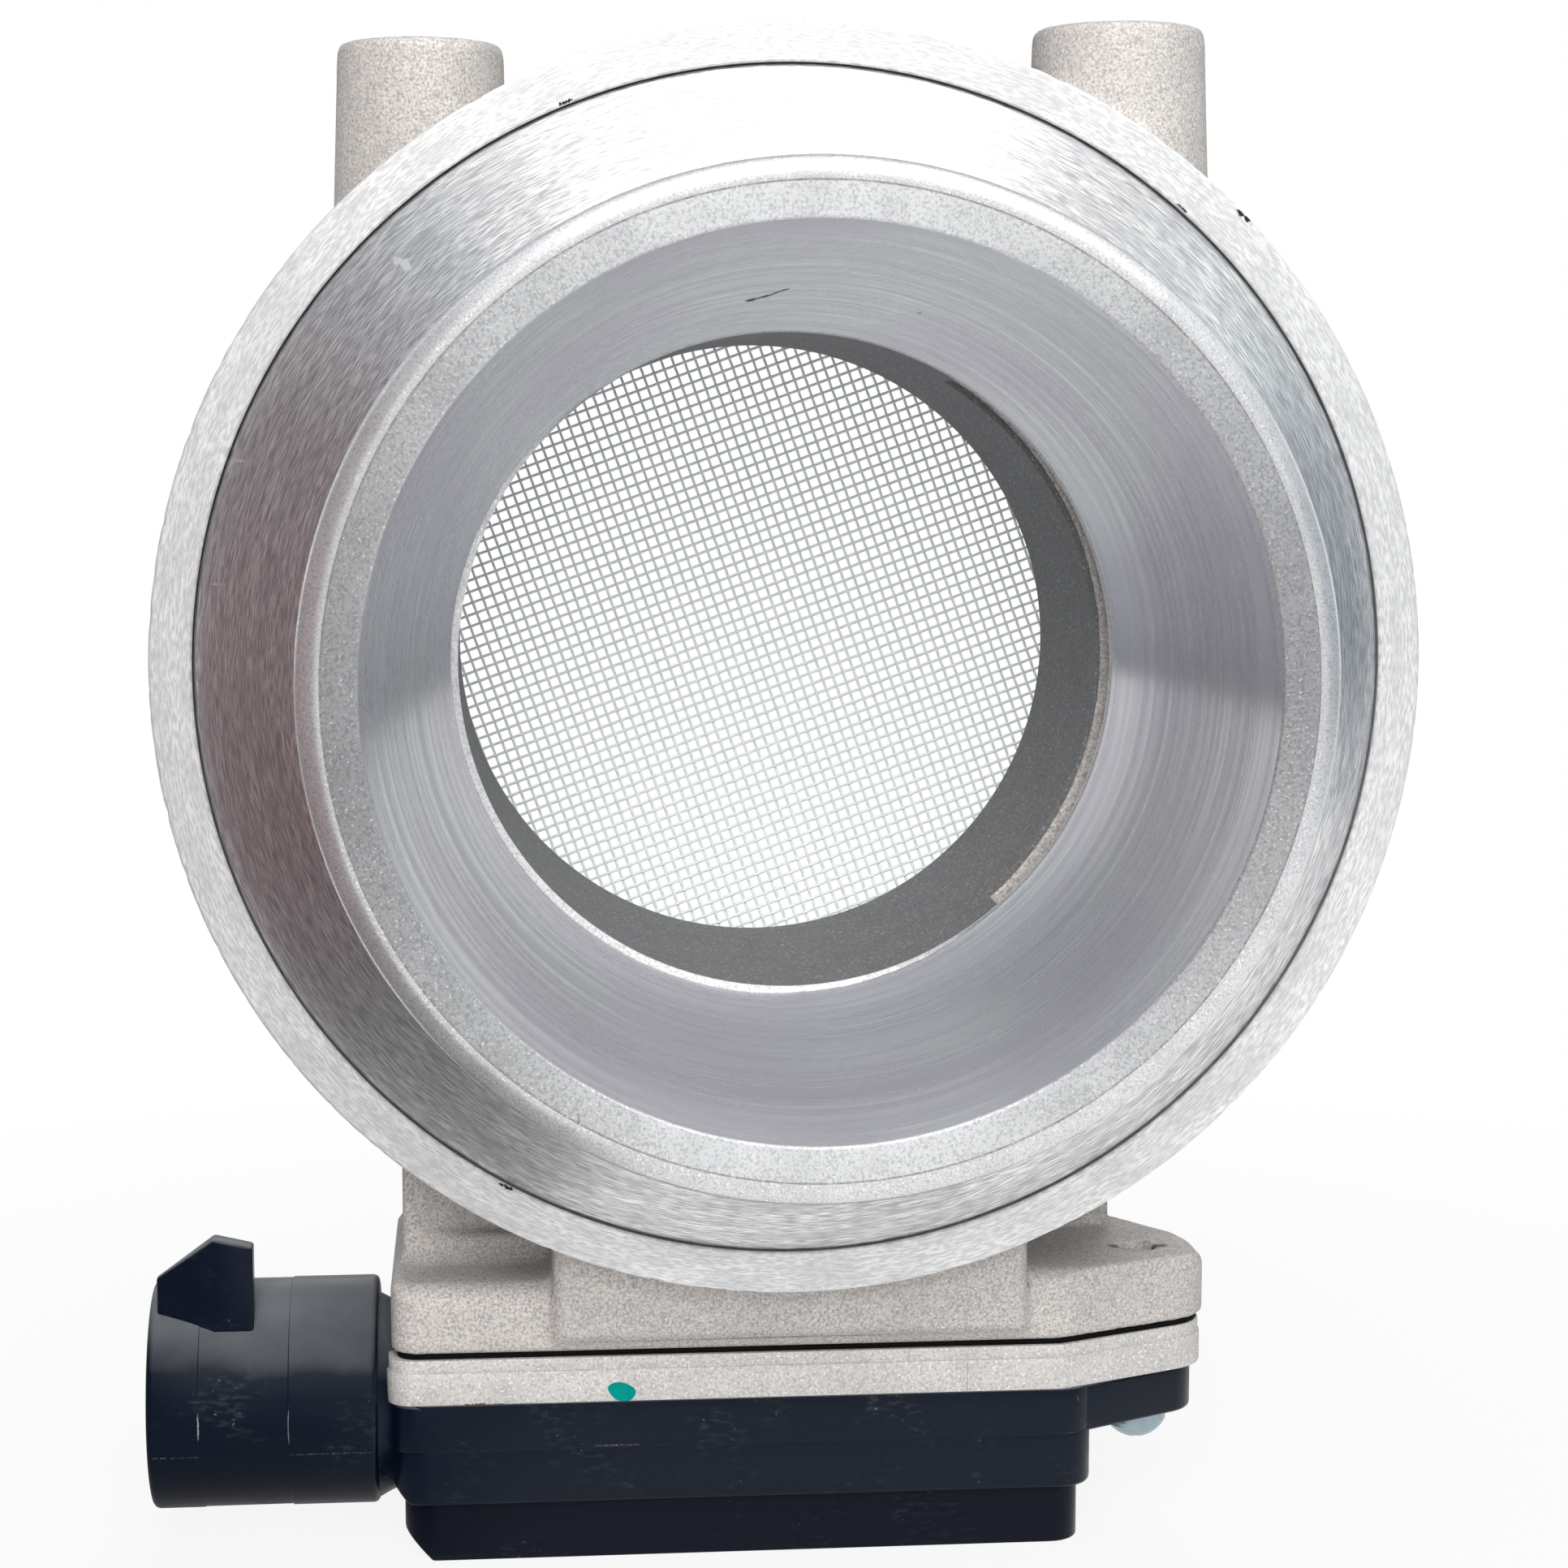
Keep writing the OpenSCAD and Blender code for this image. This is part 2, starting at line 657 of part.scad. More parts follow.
// One blade of the connector
module terminal(i) {
    y = terminal_y(i);
    block([pin_x0, y - pin_w / 2, pin_z - pin_t / 2], [pin_x1, y + pin_w / 2, pin_z + pin_t / 2]);
}

module terminals() {
    color([0.83, 0.8, 0.7])
    for (i = [0:pin_n - 1]) terminal(i);
}

// Bent leads from the terminals up to the board
module bond_leads() {
    t = 0.3;
    half_w = 0.4;
    low = pin_z + pin_t / 2;
    x0 = pin_x1 - 2;
    x1 = board_x[0] + 3.5;
    bend = [[pin_x1 + 1.2, low], [board_x[0] + 2, board_face - t]];
    color([0.85, 0.83, 0.78])
    for (i = [0:pin_n - 1]) let (y = terminal_y(i))
        slab_y([[x0, low], bend[0], bend[1], [x1, board_face - t], [x1, board_face],
                bend[1] + [-0.1, t], bend[0] + [-0.2, t], [x0, low + t]], y - half_w, y + half_w);
}

module probe_body() {
    groove_r = probe_r - 1.1;
    groove_z = [seal_z - seal_groove / 2, seal_z + seal_groove / 2];
    collar_r = probe_r + 1.9;
    color([0.12, 0.12, 0.13])
    difference() {
        union() {
            translate([0, probe_y, 0]) rotate_extrude() polygon([
                [0, plate_bottom], [collar_r, plate_bottom], [collar_r, plate_bottom + 1.8],
                [probe_r, plate_bottom + 1.8], [probe_r, groove_z[0]], [groove_r, groove_z[0]],
                [groove_r, groove_z[1]], [probe_r, groove_z[1]],
                [probe_r, probe_shoulder_z - 0.8], [probe_r - 0.8, probe_shoulder_z], [0, probe_shoulder_z]]);
            post([0, probe_y], 2 * finger_r, probe_shoulder_z - 1, probe_tip_z);
        }
        block([-window_w / 2, probe_y - 10, window_z[0]], [window_w / 2, probe_y + 10, window_z[1]]);
        for (p = pin_spots) post(p, wire_pin_d, plate_bottom - 1, window_z[0] + 1);
    }
}

module probe_seal() {
    color([0.06, 0.06, 0.06])
    translate([0, probe_y, seal_z]) rotate_extrude()
        translate([probe_r + probe_gap - seal_wire / 2, 0]) circle(d = seal_wire, $fn = 24);
}

module support_pins() {
    color([0.8, 0.8, 0.78])
    for (i = [0:3]) let (top = i < 2 ? hot_wire_z : cold_wire_z)
        post(pin_spots[i], wire_pin_d, board_face - 0.4, top - element_r);
}

// Wound element between two support pins
module element(z, y) {
    along_x(-element_l / 2) translate([-z, y, 0]) cylinder(r = element_r, h = element_l, $fn = 24);
}

module hot_wire() {
    color([0.9, 0.9, 0.88]) element(hot_wire_z, probe_y - 1.3);
}

module cold_wire() {
    color([0.85, 0.85, 0.88]) element(cold_wire_z, probe_y + 1.3);
}

housing();
outlet_nozzle();
inlet_screen();
screen_ring();
base_gasket();
base_plate();
module_case();
module_cover();
module_screws();
circuit_board();
power_transistor();
control_chip();
signal_chip();
capacitors();
chip_resistors();
terminals();
bond_leads();
probe_body();
probe_seal();
support_pins();
hot_wire();
cold_wire();
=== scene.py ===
"""Looks of a mass airflow sensor: a sand cast housing with a turned nozzle, a wire screen and a moulded module.

Lengths in the classes are in millimetres, as on a drawing, and MM turns them into metres. The bore runs along Y,
the air leaves towards -Y, X is right and Z is up, and the origin lies in the machined face of the flange.
"""

import json
import logging
import math
from collections.abc import Callable, Sequence
from dataclasses import dataclass, field
from enum import Enum
from functools import cached_property

import bpy
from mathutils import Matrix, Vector, noise

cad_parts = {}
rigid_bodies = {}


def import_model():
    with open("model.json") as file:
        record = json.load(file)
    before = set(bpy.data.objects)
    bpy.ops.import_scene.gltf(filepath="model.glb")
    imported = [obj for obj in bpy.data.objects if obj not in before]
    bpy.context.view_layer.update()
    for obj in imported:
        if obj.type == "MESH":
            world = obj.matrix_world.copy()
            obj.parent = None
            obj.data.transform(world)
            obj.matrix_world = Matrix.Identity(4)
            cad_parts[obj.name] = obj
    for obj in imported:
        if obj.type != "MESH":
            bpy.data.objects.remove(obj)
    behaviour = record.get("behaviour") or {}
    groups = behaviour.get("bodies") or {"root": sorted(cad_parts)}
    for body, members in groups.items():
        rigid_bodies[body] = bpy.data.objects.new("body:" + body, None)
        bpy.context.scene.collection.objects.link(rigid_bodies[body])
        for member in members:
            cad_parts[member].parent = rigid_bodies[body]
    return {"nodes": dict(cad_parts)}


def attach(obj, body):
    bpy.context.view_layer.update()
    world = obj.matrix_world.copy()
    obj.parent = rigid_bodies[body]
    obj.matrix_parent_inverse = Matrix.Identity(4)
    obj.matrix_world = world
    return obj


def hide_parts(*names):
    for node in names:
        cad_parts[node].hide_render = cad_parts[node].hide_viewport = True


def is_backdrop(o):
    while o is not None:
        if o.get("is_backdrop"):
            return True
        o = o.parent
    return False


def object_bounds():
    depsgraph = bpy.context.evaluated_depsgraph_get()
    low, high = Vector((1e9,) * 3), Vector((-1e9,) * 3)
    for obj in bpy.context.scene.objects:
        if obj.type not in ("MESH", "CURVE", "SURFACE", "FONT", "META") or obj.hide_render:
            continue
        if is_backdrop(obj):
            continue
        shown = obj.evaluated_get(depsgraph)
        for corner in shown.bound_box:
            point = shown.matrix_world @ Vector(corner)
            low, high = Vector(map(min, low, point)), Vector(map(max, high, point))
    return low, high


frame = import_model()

MM = 0.001
Colour = tuple[float, float, float]
Span = tuple[float, float]
Station = tuple[float, float]
Spot = tuple[float, float]
Spot3 = tuple[float, float, float]
Circle = tuple[float, float, float]
Material = bpy.types.Material
Piece = bpy.types.Object
Socket = bpy.types.NodeSocket
WHITE = (1.0, 1.0, 1.0)
WHITE_DENT = (0.97, 0.97, 0.97)
DARK_NICK = (0.02, 0.018, 0.02)
# colour of painted shade along the edges of the front block under the flange
PAINTED_EDGE_SHADE = (0.2, 0.18, 0.165)
CLOUD = (0.3, 0.7)  # noise at the gaps between clouds, and in their middle
AXIAL = 1.37  # how much closer turned lines lie along the bore than across it
RAGGED = 0.35  # how far a mark's edge strays, in widths of the mark
log = logging.getLogger("airflow_sensor")


class Axis(Enum):
    """Axis that a turned piece is spun round."""

    BORE = (0.0, 1.0, 0.0)
    PLUG = (1.0, 0.0, 0.0)

    def place(self, radius: float, along: float) -> Vector:
        """Gives the point, in metres, at a radius and a distance along this axis."""
        return Vector((radius, along, 0.0) if self is Axis.BORE else (along, 0.0, radius)) * MM


@dataclass(frozen=True)
class Mark:
    """Scratch, dent or stain on a surface, drawn between two points."""

    start: Spot3
    end: Spot3
    width: float
    colour: Colour


class Tree:
    """Node tree, with short calls for what materials and surroundings share."""

    def __init__(self, tree: bpy.types.NodeTree) -> None:
        """Takes up one of Blender's node trees."""
        self.tree = tree

    def node(self, kind: str, inputs: dict | None = None, **settings: object) -> bpy.types.Node:
        """Adds a node.

        Args:
            kind: Blender's name for the sort of node, without the ShaderNode that it begins with.
            inputs: Socket names or numbers, each with a value or with the socket that feeds it.
            settings: Properties of the node.

        Returns:
            The new node.
        """
        made = self.tree.nodes.new("ShaderNode" + kind)
        for key, value in settings.items():
            setattr(made, key, value)
        for key, value in (inputs or {}).items():
            if isinstance(value, Socket):
                self.tree.links.new(value, made.inputs[key])
            else:
                made.inputs[key].default_value = value
        return made

    def maths(self, operation: str, a: Socket | float, b: Socket | float) -> Socket:
        """Joins two numbers by an operation of the Math node."""
        return self.node("Math", {0: a, 1: b}, operation=operation).outputs[0]

    @cached_property
    def seen(self) -> Socket:
        """1 for rays that show a surface straight, mirrored or through glass, and 0 for the rest."""
        rays = self.node("LightPath").outputs
        both = self.maths("MAXIMUM", rays["Is Camera Ray"], rays["Is Glossy Ray"])
        return self.maths("MAXIMUM", both, rays["Is Transmission Ray"])


class Recipe(Tree):
    """Node tree of one material, with what the finishes share."""

    def __init__(self, name: str) -> None:
        """Starts a material.

        Args:
            name: Name of the material.
        """
        self.material = bpy.data.materials.new(name)
        self.material.use_nodes = True
        super().__init__(self.material.node_tree)
        self.shader = self.tree.nodes["Principled BSDF"]
        self.place = self.node("TexCoord").outputs["Object"]

    def vector(self, operation: str, inputs: dict, output: str = "Vector") -> Socket:
        """Joins vectors by an operation of the Vector Math node."""
        return self.node("VectorMath", inputs, operation=operation).outputs[output]

    def level(self, value: Socket, span: Span = (0.0, 1.0), to: Span = (0.0, 1.0)) -> Socket:
        """Stretches a number from one range to another, and stops it at the ends."""
        return self.node("MapRange", {0: value, 1: span[0], 2: span[1], 3: to[0], 4: to[1]}).outputs[0]

    @cached_property
    def flat(self) -> Socket:
        """Place seen along the bore, with nothing along Y."""
        return self.vector("MULTIPLY", {0: self.place, 1: (1.0, 0.0, 1.0)})

    @cached_property
    def outward(self) -> Socket:
        """Direction away from the bore's axis."""
        return self.vector("NORMALIZE", {0: self.flat})

    def blend(self, share: Socket, a: Socket | Colour, b: Socket | Colour) -> Socket:
        """Mixes two colours, with a share of the second."""
        first, second = (c if isinstance(c, Socket) else (*c, 1.0) for c in (a, b))
        return self.node("Mix", {0: share, 6: first, 7: second}, data_type="RGBA").outputs[2]

    def speckle(self, size: float, detail: float = 2.0, where: Socket | None = None, warp: float = 0.0) -> Socket:
        """Makes cloudy noise with spots of a size in millimetres, some finer layers, and a warp."""
        inputs = {"Vector": where or self.place, "Scale": 1 / (size * MM), "Detail": detail, "Distortion": warp}
        return self.node("TexNoise", inputs).outputs["Fac"]

    def lathe(self, line: float, turns: float, detail: float = 3.0) -> Socket:
        """Makes noise that is drawn out round the bore, as a turning tool leaves it.

        Args:
            line: Width of the lines, in millimetres.
            turns: How often a line changes on its way round.
            detail: Number of finer layers.

        Returns:
            The noise, from 0 to 1.
        """
        round_bore = self.vector("SCALE", {0: self.outward, "Scale": turns})
        y = self.node("SeparateXYZ", {0: self.place}).outputs[1]
        along = self.maths("ADD", self.vector("LENGTH", {0: self.flat}, "Value"), self.maths("MULTIPLY", y, AXIAL))
        lines = self.node("CombineXYZ", {1: self.maths("MULTIPLY", along, 1 / (line * MM))}).outputs[0]
        where = self.vector("ADD", {0: round_bore, 1: lines})
        return self.node("TexNoise", {"Vector": where, "Scale": 1.0, "Detail": detail}).outputs["Fac"]

    def brushed(self, amount: float) -> None:
        """Draws reflections out across the turned lines, by an amount from 0 to 1."""
        across = self.vector("NORMALIZE", {0: self.vector("ADD", {0: self.outward, 1: (0.0, 1.0, 0.0)})})
        self.shade(Anisotropic=amount, Tangent=across)

    def marked(self, skin: Socket, marks: Sequence[Mark]) -> Socket:
        """Draws marks on a colour, each with a ragged edge.

        Args:
            skin: Colour without them.
            marks: Marks to draw.

        Returns:
            The colour with the marks.
        """
        for mark in marks:
            start, way = Vector(mark.start) * MM, (Vector(mark.end) - Vector(mark.start)) * MM
            off = self.vector("SUBTRACT", {0: self.place, 1: start})
            along = self.level(self.vector("DOT_PRODUCT", {0: off, 1: way / way.length_squared}, "Value"))
            middle = self.vector("SCALE", {0: way, "Scale": along})
            gap = self.vector("DISTANCE", {0: off, 1: middle}, "Value")
            width = mark.width * MM
            stray = self.level(self.speckle(mark.width * 0.7), CLOUD, (-RAGGED * width, RAGGED * width))
            inside = self.level(self.maths("ADD", gap, stray), (0.5 * width, 0.25 * width))
            skin = self.blend(inside, skin, mark.colour)
        return skin

    def relief(self, *layers: tuple[Socket, float]) -> None:
        """Gives the surface its relief.

        Args:
            layers: Heights from 0 to 1, each with its depth in millimetres.
        """
        normal = None
        for height, depth in layers:
            inputs = {"Height": height, "Distance": depth * MM, "Strength": 1.0}
            if normal:
                inputs["Normal"] = normal
            normal = self.node("Bump", inputs).outputs[0]
        self.tree.links.new(normal, self.shader.inputs["Normal"])

    def shade(self, **sockets: object) -> Material:
        """Sets the shader's sockets, whose names are given with low lines for spaces.

        Args:
            sockets: Value, colour or feeding socket of each.

        Returns:
            The finished material.
        """
        for key, value in sockets.items():
            socket = self.shader.inputs[key.replace("_", " ")]
            if isinstance(value, Socket):
                self.tree.links.new(value, socket)
            else:
                socket.default_value = (*value, 1.0) if isinstance(value, tuple) else value
        return self.material


def toned(colour: Colour, share: float) -> Colour:
    """Darkens or brightens a colour by a share, up to white."""
    return tuple(min(1.0, part * share) for part in colour)


@dataclass(frozen=True)
class CastFinish:
    """Sand cast aluminium: a matt warm grey skin with fine grains, some of which glint."""

    name: str
    colour: Colour
    grain: float = 0.3
    depth: float = 0.09
    patch: float = 8.0
    swell: float = 1.8
    swell_depth: float = 0.05
    pits: Span = (0.32, 0.64)
    glints: Span = (0.64, 0.74)
    marks: tuple[Mark, ...] = ()

    def make(self) -> Material:
        """Builds the material."""
        recipe = Recipe(self.name)
        grain = recipe.speckle(self.grain, 3.0)
        cloud = recipe.level(recipe.speckle(self.patch, 4.0), CLOUD)
        glint = recipe.level(recipe.speckle(self.grain * 0.9, 1.0), self.glints)
        skin = recipe.blend(cloud, toned(self.colour, 0.92), toned(self.colour, 1.08))
        skin = recipe.blend(recipe.level(grain, self.pits), toned(self.colour, 0.52), skin)
        skin = recipe.blend(glint, skin, toned(self.colour, 1.3))
        recipe.relief((grain, self.depth), (recipe.speckle(self.swell), self.swell_depth))
        return recipe.shade(Base_Color=recipe.marked(skin, self.marks), Metallic=recipe.level(glint, to=(0.2, 0.8)),
                            Roughness=recipe.level(glint, to=(0.6, 0.32)))


@dataclass(frozen=True)
class TurnedFinish:
    """Turned aluminium: short bright and dark dashes round the bore, which draw reflections out across them."""

    name: str
    dark: Colour
    light: Colour
    line: float = 0.25
    turns: float = 19.0
    depth: float = 0.006
    roughness: float = 0.28
    brush: float = 0.7
    metallic: float = 1.0
    tint: Colour | None = None
    cloud: float = 26.0
    marks: tuple[Mark, ...] = ()

    def make(self) -> Material:
        """Builds the material."""
        recipe = Recipe(self.name)
        dash = recipe.lathe(self.line, self.turns)
        broad = recipe.lathe(self.line * 8, self.turns * 0.15, 2.0)
        skin = recipe.blend(recipe.level(dash, (0.4, 0.6)), self.dark, self.light)
        skin = recipe.blend(recipe.level(broad, (0.4, 0.65), (0.0, 0.45)), skin, self.dark)
        if self.tint:
            cloud = recipe.level(recipe.speckle(self.cloud, 1.0), (0.42, 0.62), (0.0, 0.7))
            skin = recipe.blend(cloud, skin, self.tint)
        recipe.relief((dash, self.depth), (broad, self.depth))
        recipe.brushed(self.brush)
        rough = recipe.level(broad, CLOUD, (self.roughness * 0.85, self.roughness * 1.2))
        return recipe.shade(Base_Color=recipe.marked(skin, self.marks), Metallic=self.metallic, Roughness=rough)


@dataclass(frozen=True)
class FrostedFinish:
    """Blasted aluminium, pale and sparkling."""

    name: str
    colour: Colour
    grain: float = 0.3
    depth: float = 0.03
    metallic: float = 0.85
    roughness: float = 0.48
    brush: float = 0.0
    glint: float = 1.5
    patch: float = 5.0
    marks: tuple[Mark, ...] = ()

    def make(self) -> Material:
        """Builds the material."""
        recipe = Recipe(self.name)
        grain = recipe.speckle(self.grain, 2.0)
        glint = recipe.level(recipe.speckle(self.grain * 1.1, 1.0), (0.6, 0.7))
        cloud = recipe.level(recipe.speckle(self.patch, 3.0), CLOUD, (0.0, 0.8))
        skin = recipe.blend(cloud, self.colour, toned(self.colour, 0.82))
        skin = recipe.blend(recipe.level(grain, (0.34, 0.54), (0.75, 0.0)), skin, toned(self.colour, 0.6))
        skin = recipe.blend(glint, skin, toned(self.colour, self.glint))
        recipe.relief((grain, self.depth))
        if self.brush:
            recipe.brushed(self.brush)
        return recipe.shade(Base_Color=recipe.marked(skin, self.marks), Metallic=self.metallic,
                            Roughness=recipe.level(glint, to=(self.roughness, self.roughness * 0.55)))


@dataclass(frozen=True)
class MouldedFinish:
    """Moulded black plastic: a faint grain, with dusty smudges, short scuffs, and a paler tone on the upper sides that
    is a painted highlight.
    """

    name: str
    colour: Colour
    roughness: float = 0.3
    gloss: float = 0.22
    dust: float = 0.08
    # share of the painted highlight, a paler tone on surfaces that face up
    painted_top_highlight: float = 0.34
    # colour of the dusty smudges, and of the painted highlight on the upper sides
    dust_and_highlight_colour: Colour = (0.36, 0.38, 0.40)
    speck_colour: Colour = (0.5, 0.5, 0.5)
    marks: tuple[Mark, ...] = ()

    def make(self) -> Material:
        """Builds the material."""
        recipe = Recipe(self.name)
        cloud = recipe.level(recipe.speckle(8.0, 5.0, warp=0.6), (0.52, 0.75))
        drawn = recipe.node("Mapping", {"Vector": recipe.place, "Scale": (0.35, 1.0, 1.0)}).outputs[0]
        fleck = recipe.level(recipe.speckle(0.5, 3.0, drawn), (0.5, 0.72))
        speck = recipe.level(recipe.speckle(0.55, 1.0), (0.73, 0.77), (0.0, 0.2))
        smudge = recipe.maths("MULTIPLY", recipe.maths("MULTIPLY", cloud, fleck), self.dust)
        normal = recipe.node("SeparateXYZ", {0: recipe.node("NewGeometry").outputs["Normal"]})
        patchy = recipe.maths("MULTIPLY", recipe.speckle(9.0, 4.0), 0.5)
        # surfaces that face up are painted paler: a painted highlight from the light above
        painted_top_highlight = recipe.level(recipe.maths("ADD", normal.outputs[2], patchy), (0.62, 1.3), (0.0, self.painted_top_highlight))
        skin = recipe.blend(recipe.maths("ADD", smudge, painted_top_highlight), self.colour, self.dust_and_highlight_colour)
        skin = recipe.blend(recipe.maths("MULTIPLY", speck, cloud), skin, self.speck_colour)
        recipe.relief((recipe.speckle(0.3, 2.0), 0.01))
        return recipe.shade(Base_Color=recipe.marked(skin, self.marks), Specular_IOR_Level=self.gloss,
                            Roughness=recipe.level(cloud, to=(self.roughness, self.roughness + 0.18)))


@dataclass(frozen=True)
class SmallFinish:
    """Plain finish of a small piece: one colour with a mottled tone and a slight grain."""

    name: str
    colour: Colour
    metallic: float = 0.0
    roughness: float = 0.5
    grain: float = 0.3
    depth: float = 0.01
    gloss: float = 0.5

    def make(self) -> Material:
        """Builds the material."""
        recipe = Recipe(self.name)
        cloud = recipe.level(recipe.speckle(self.grain * 6, 3.0), CLOUD)
        recipe.relief((recipe.speckle(self.grain), self.depth))
        return recipe.shade(Base_Color=recipe.blend(cloud, toned(self.colour, 0.85), self.colour),
                            Metallic=self.metallic, Roughness=self.roughness, Specular_IOR_Level=self.gloss)


def let_go() -> None:
    """Leaves edit mode and deselects everything."""
    if bpy.context.object and bpy.context.object.mode != "OBJECT":
        bpy.ops.object.mode_set(mode="OBJECT")
    bpy.ops.object.select_all(action="DESELECT")


def hold(piece: Piece, edit: bool = False) -> None:
    """Selects one piece alone.

    Args:
        piece: Piece to work on.
        edit: Whether to open its mesh, with all of it selected.
    """
    let_go()
    piece.select_set(True)
    bpy.context.view_layer.objects.active = piece
    if edit:
        bpy.ops.object.mode_set(mode="EDIT")
        bpy.ops.mesh.select_all(action="SELECT")


def named(name: str) -> Piece:
    """Names the primitive that was just added, and moves its place into its mesh.

    Args:
        name: Its name.

    Returns:
        The primitive.
    """
    piece = bpy.context.object
    piece.name = piece.data.name = name
    bpy.ops.object.transform_apply(location=True, rotation=True, scale=True)
    return piece


def placed(name: str, data: bpy.types.ID) -> Piece:
    """Puts a mesh, lamp or camera into the scene.

    Args:
        name: Name of the new object.
        data: What it shows.

    Returns:
        The object.
    """
    thing = bpy.data.objects.new(name, data)
    bpy.context.scene.collection.objects.link(thing)
    return thing


def tidy_mesh(piece: Piece) -> None:
    """Merges doubled points and turns all faces outwards.

    Args:
        piece: Piece to work on.
    """
    hold(piece, edit=True)
    bpy.ops.mesh.remove_doubles(threshold=1e-6)
    bpy.ops.mesh.normals_make_consistent(inside=False)
    let_go()


def soften(piece: Piece, angle: float) -> None:
    """Smooths the shading across blunt edges.

    Args:
        piece: Piece to work on.
        angle: Greatest angle of an edge that is smoothed, in degrees.
    """
    hold(piece)
    bpy.ops.object.shade_smooth_by_angle(angle=math.radians(angle))
    let_go()


def finish_with(piece: Piece, kind: str, **settings: object) -> None:
    """Adds a modifier to a piece and applies it.

    Args:
        piece: Piece to work on.
        kind: Blender's name for the modifier.
        settings: Properties of the modifier.
    """
    hold(piece)
    modifier = piece.modifiers.new(kind.lower(), kind)
    for key, value in settings.items():
        setattr(modifier, key, value)
    bpy.ops.object.modifier_apply(modifier=modifier.name)


def round_edges(piece: Piece, width: float, steps: int = 2, angle: float = 35.0) -> None:
    """Rounds the edges that are sharper than an angle, to a width in millimetres and with some flats across."""
    finish_with(piece, "BEVEL", width=width * MM, segments=steps, limit_method="ANGLE",
                angle_limit=math.radians(angle))


def drop(piece: Piece, kind: str, test: Callable[[Vector], bool]) -> None:
    """Deletes the points or faces of a piece that pass a test, and closes small holes.

    Args:
        piece: Piece to work on.
        kind: VERT for points, or FACE for faces.
        test: Test of the place of a point, or of a face's middle, in millimetres.
    """
    hold(piece, edit=True)
    bpy.ops.mesh.select_mode(type=kind)
    bpy.ops.mesh.select_all(action="DESELECT")
    bpy.ops.object.mode_set(mode="OBJECT")
    points = kind == "VERT"
    for spot in piece.data.vertices if points else piece.data.polygons:
        spot.select = test((spot.co if points else spot.center) / MM)
    bpy.ops.object.mode_set(mode="EDIT")
    bpy.ops.mesh.delete(type=kind)
    bpy.ops.mesh.select_mode(type="VERT")
    bpy.ops.mesh.select_all(action="SELECT")
    bpy.ops.mesh.fill_holes(sides=6)
    let_go()


def cut(piece: Piece, at: Spot3, away: Spot3) -> None:
    """Cuts off what lies beyond a plane and closes the cut.

    Args:
        piece: Piece to work on.
        at: Point of the plane, in millimetres.
        away: Direction in which the piece is cut off.
    """
    hold(piece, edit=True)
    bpy.ops.mesh.bisect(plane_co=Vector(at) * MM, plane_no=away, use_fill=True, clear_outer=True)
    let_go()


def joined(name: str, *pieces: Piece) -> Piece:
    """Joins pieces into the first of them.

    Args:
        name: Name of the whole.
        pieces: Pieces to join.

    Returns:
        The whole.
    """
    let_go()
    for piece in pieces:
        piece.select_set(True)
    bpy.context.view_layer.objects.active = pieces[0]
    bpy.ops.object.join()
    pieces[0].name = pieces[0].data.name = name
    return pieces[0]


def arc(centre: Station, radius: float, start: float, end: float, count: int) -> list[Station]:
    """Gives the points of an arc, both ends included, with its angles in degrees."""
    angles = [math.radians(start + (end - start) * i / count) for i in range(count + 1)]
    return [(centre[0] + radius * math.cos(a), centre[1] + radius * math.sin(a)) for a in angles]


def belt(circles: list[Circle], count: int = 8) -> list[Spot]:
    """Gives the outline of a belt that is stretched round circles.

    Args:
        circles: Middle and radius of each circle, anticlockwise.
        count: Number of steps round each.

    Returns:
        The outline's points.
    """
    def normal(p: Circle, q: Circle) -> float:
        """Gives the direction that the belt's side faces between two circles, in degrees."""
        lean = math.asin((p[2] - q[2]) / math.dist(p[:2], q[:2]))
        return math.degrees(math.atan2(q[1] - p[1], q[0] - p[0]) + lean) - 90

    points = []
    for last, here, ahead in zip(circles[-1:] + circles[:-1], circles, circles[1:] + circles[:1]):
        start, end = normal(last, here), normal(here, ahead)
        points += arc(here[:2], here[2], start, end + 360 if end < start else end, count)
    return points


def round_box(x0: float, x1: float, y0: float, y1: float, radius: float) -> list[Spot]:
    """Gives the outline of a rectangle with rounded corners."""
    return belt([(x, y, radius) for x, y in ((x0 + radius, y0 + radius), (x1 - radius, y0 + radius),
                                             (x1 - radius, y1 - radius), (x0 + radius, y1 - radius))])


def chain(name: str, places: Sequence[Vector]) -> Piece:
    """Draws a chain by drawing out one point after another, and leaves it open for editing.

    Args:
        name: Name of the piece.
        places: Points of the chain, in metres.

    Returns:
        The piece, which has no faces yet.
    """
    let_go()
    bpy.ops.mesh.primitive_plane_add(size=MM, location=places[0])
    piece = named(name)
    bpy.ops.object.mode_set(mode="EDIT")
    bpy.ops.mesh.select_all(action="SELECT")
    bpy.ops.mesh.merge(type="CENTER")
    for last, place in zip(places, places[1:]):
        bpy.ops.mesh.extrude_vertices_move(TRANSFORM_OT_translate={"value": place - last})
    bpy.ops.mesh.select_all(action="SELECT")
    return piece


def turn(name: str, section: Sequence[Station], axis: Axis, steps: int, centre: Spot3 = (0.0, 0.0, 0.0)) -> Piece:
    """Turns a piece as on a lathe: a chain of points is drawn out, and then spun round the axis.

    Args:
        name: Name of the piece.
        section: Radius and distance along the axis of each point; the last meets the first in a closed section.
        axis: Axis to spin round.
        steps: Number of flats round the piece.
        centre: Point of the axis, in millimetres.

    Returns:
        The turned piece.
    """
    middle = Vector(centre) * MM
    piece = chain(name, [middle + axis.place(*station) for station in section])
    bpy.ops.mesh.spin(steps=steps, angle=math.tau, center=middle, axis=axis.value, use_auto_merge=True)
    tidy_mesh(piece)
    return piece


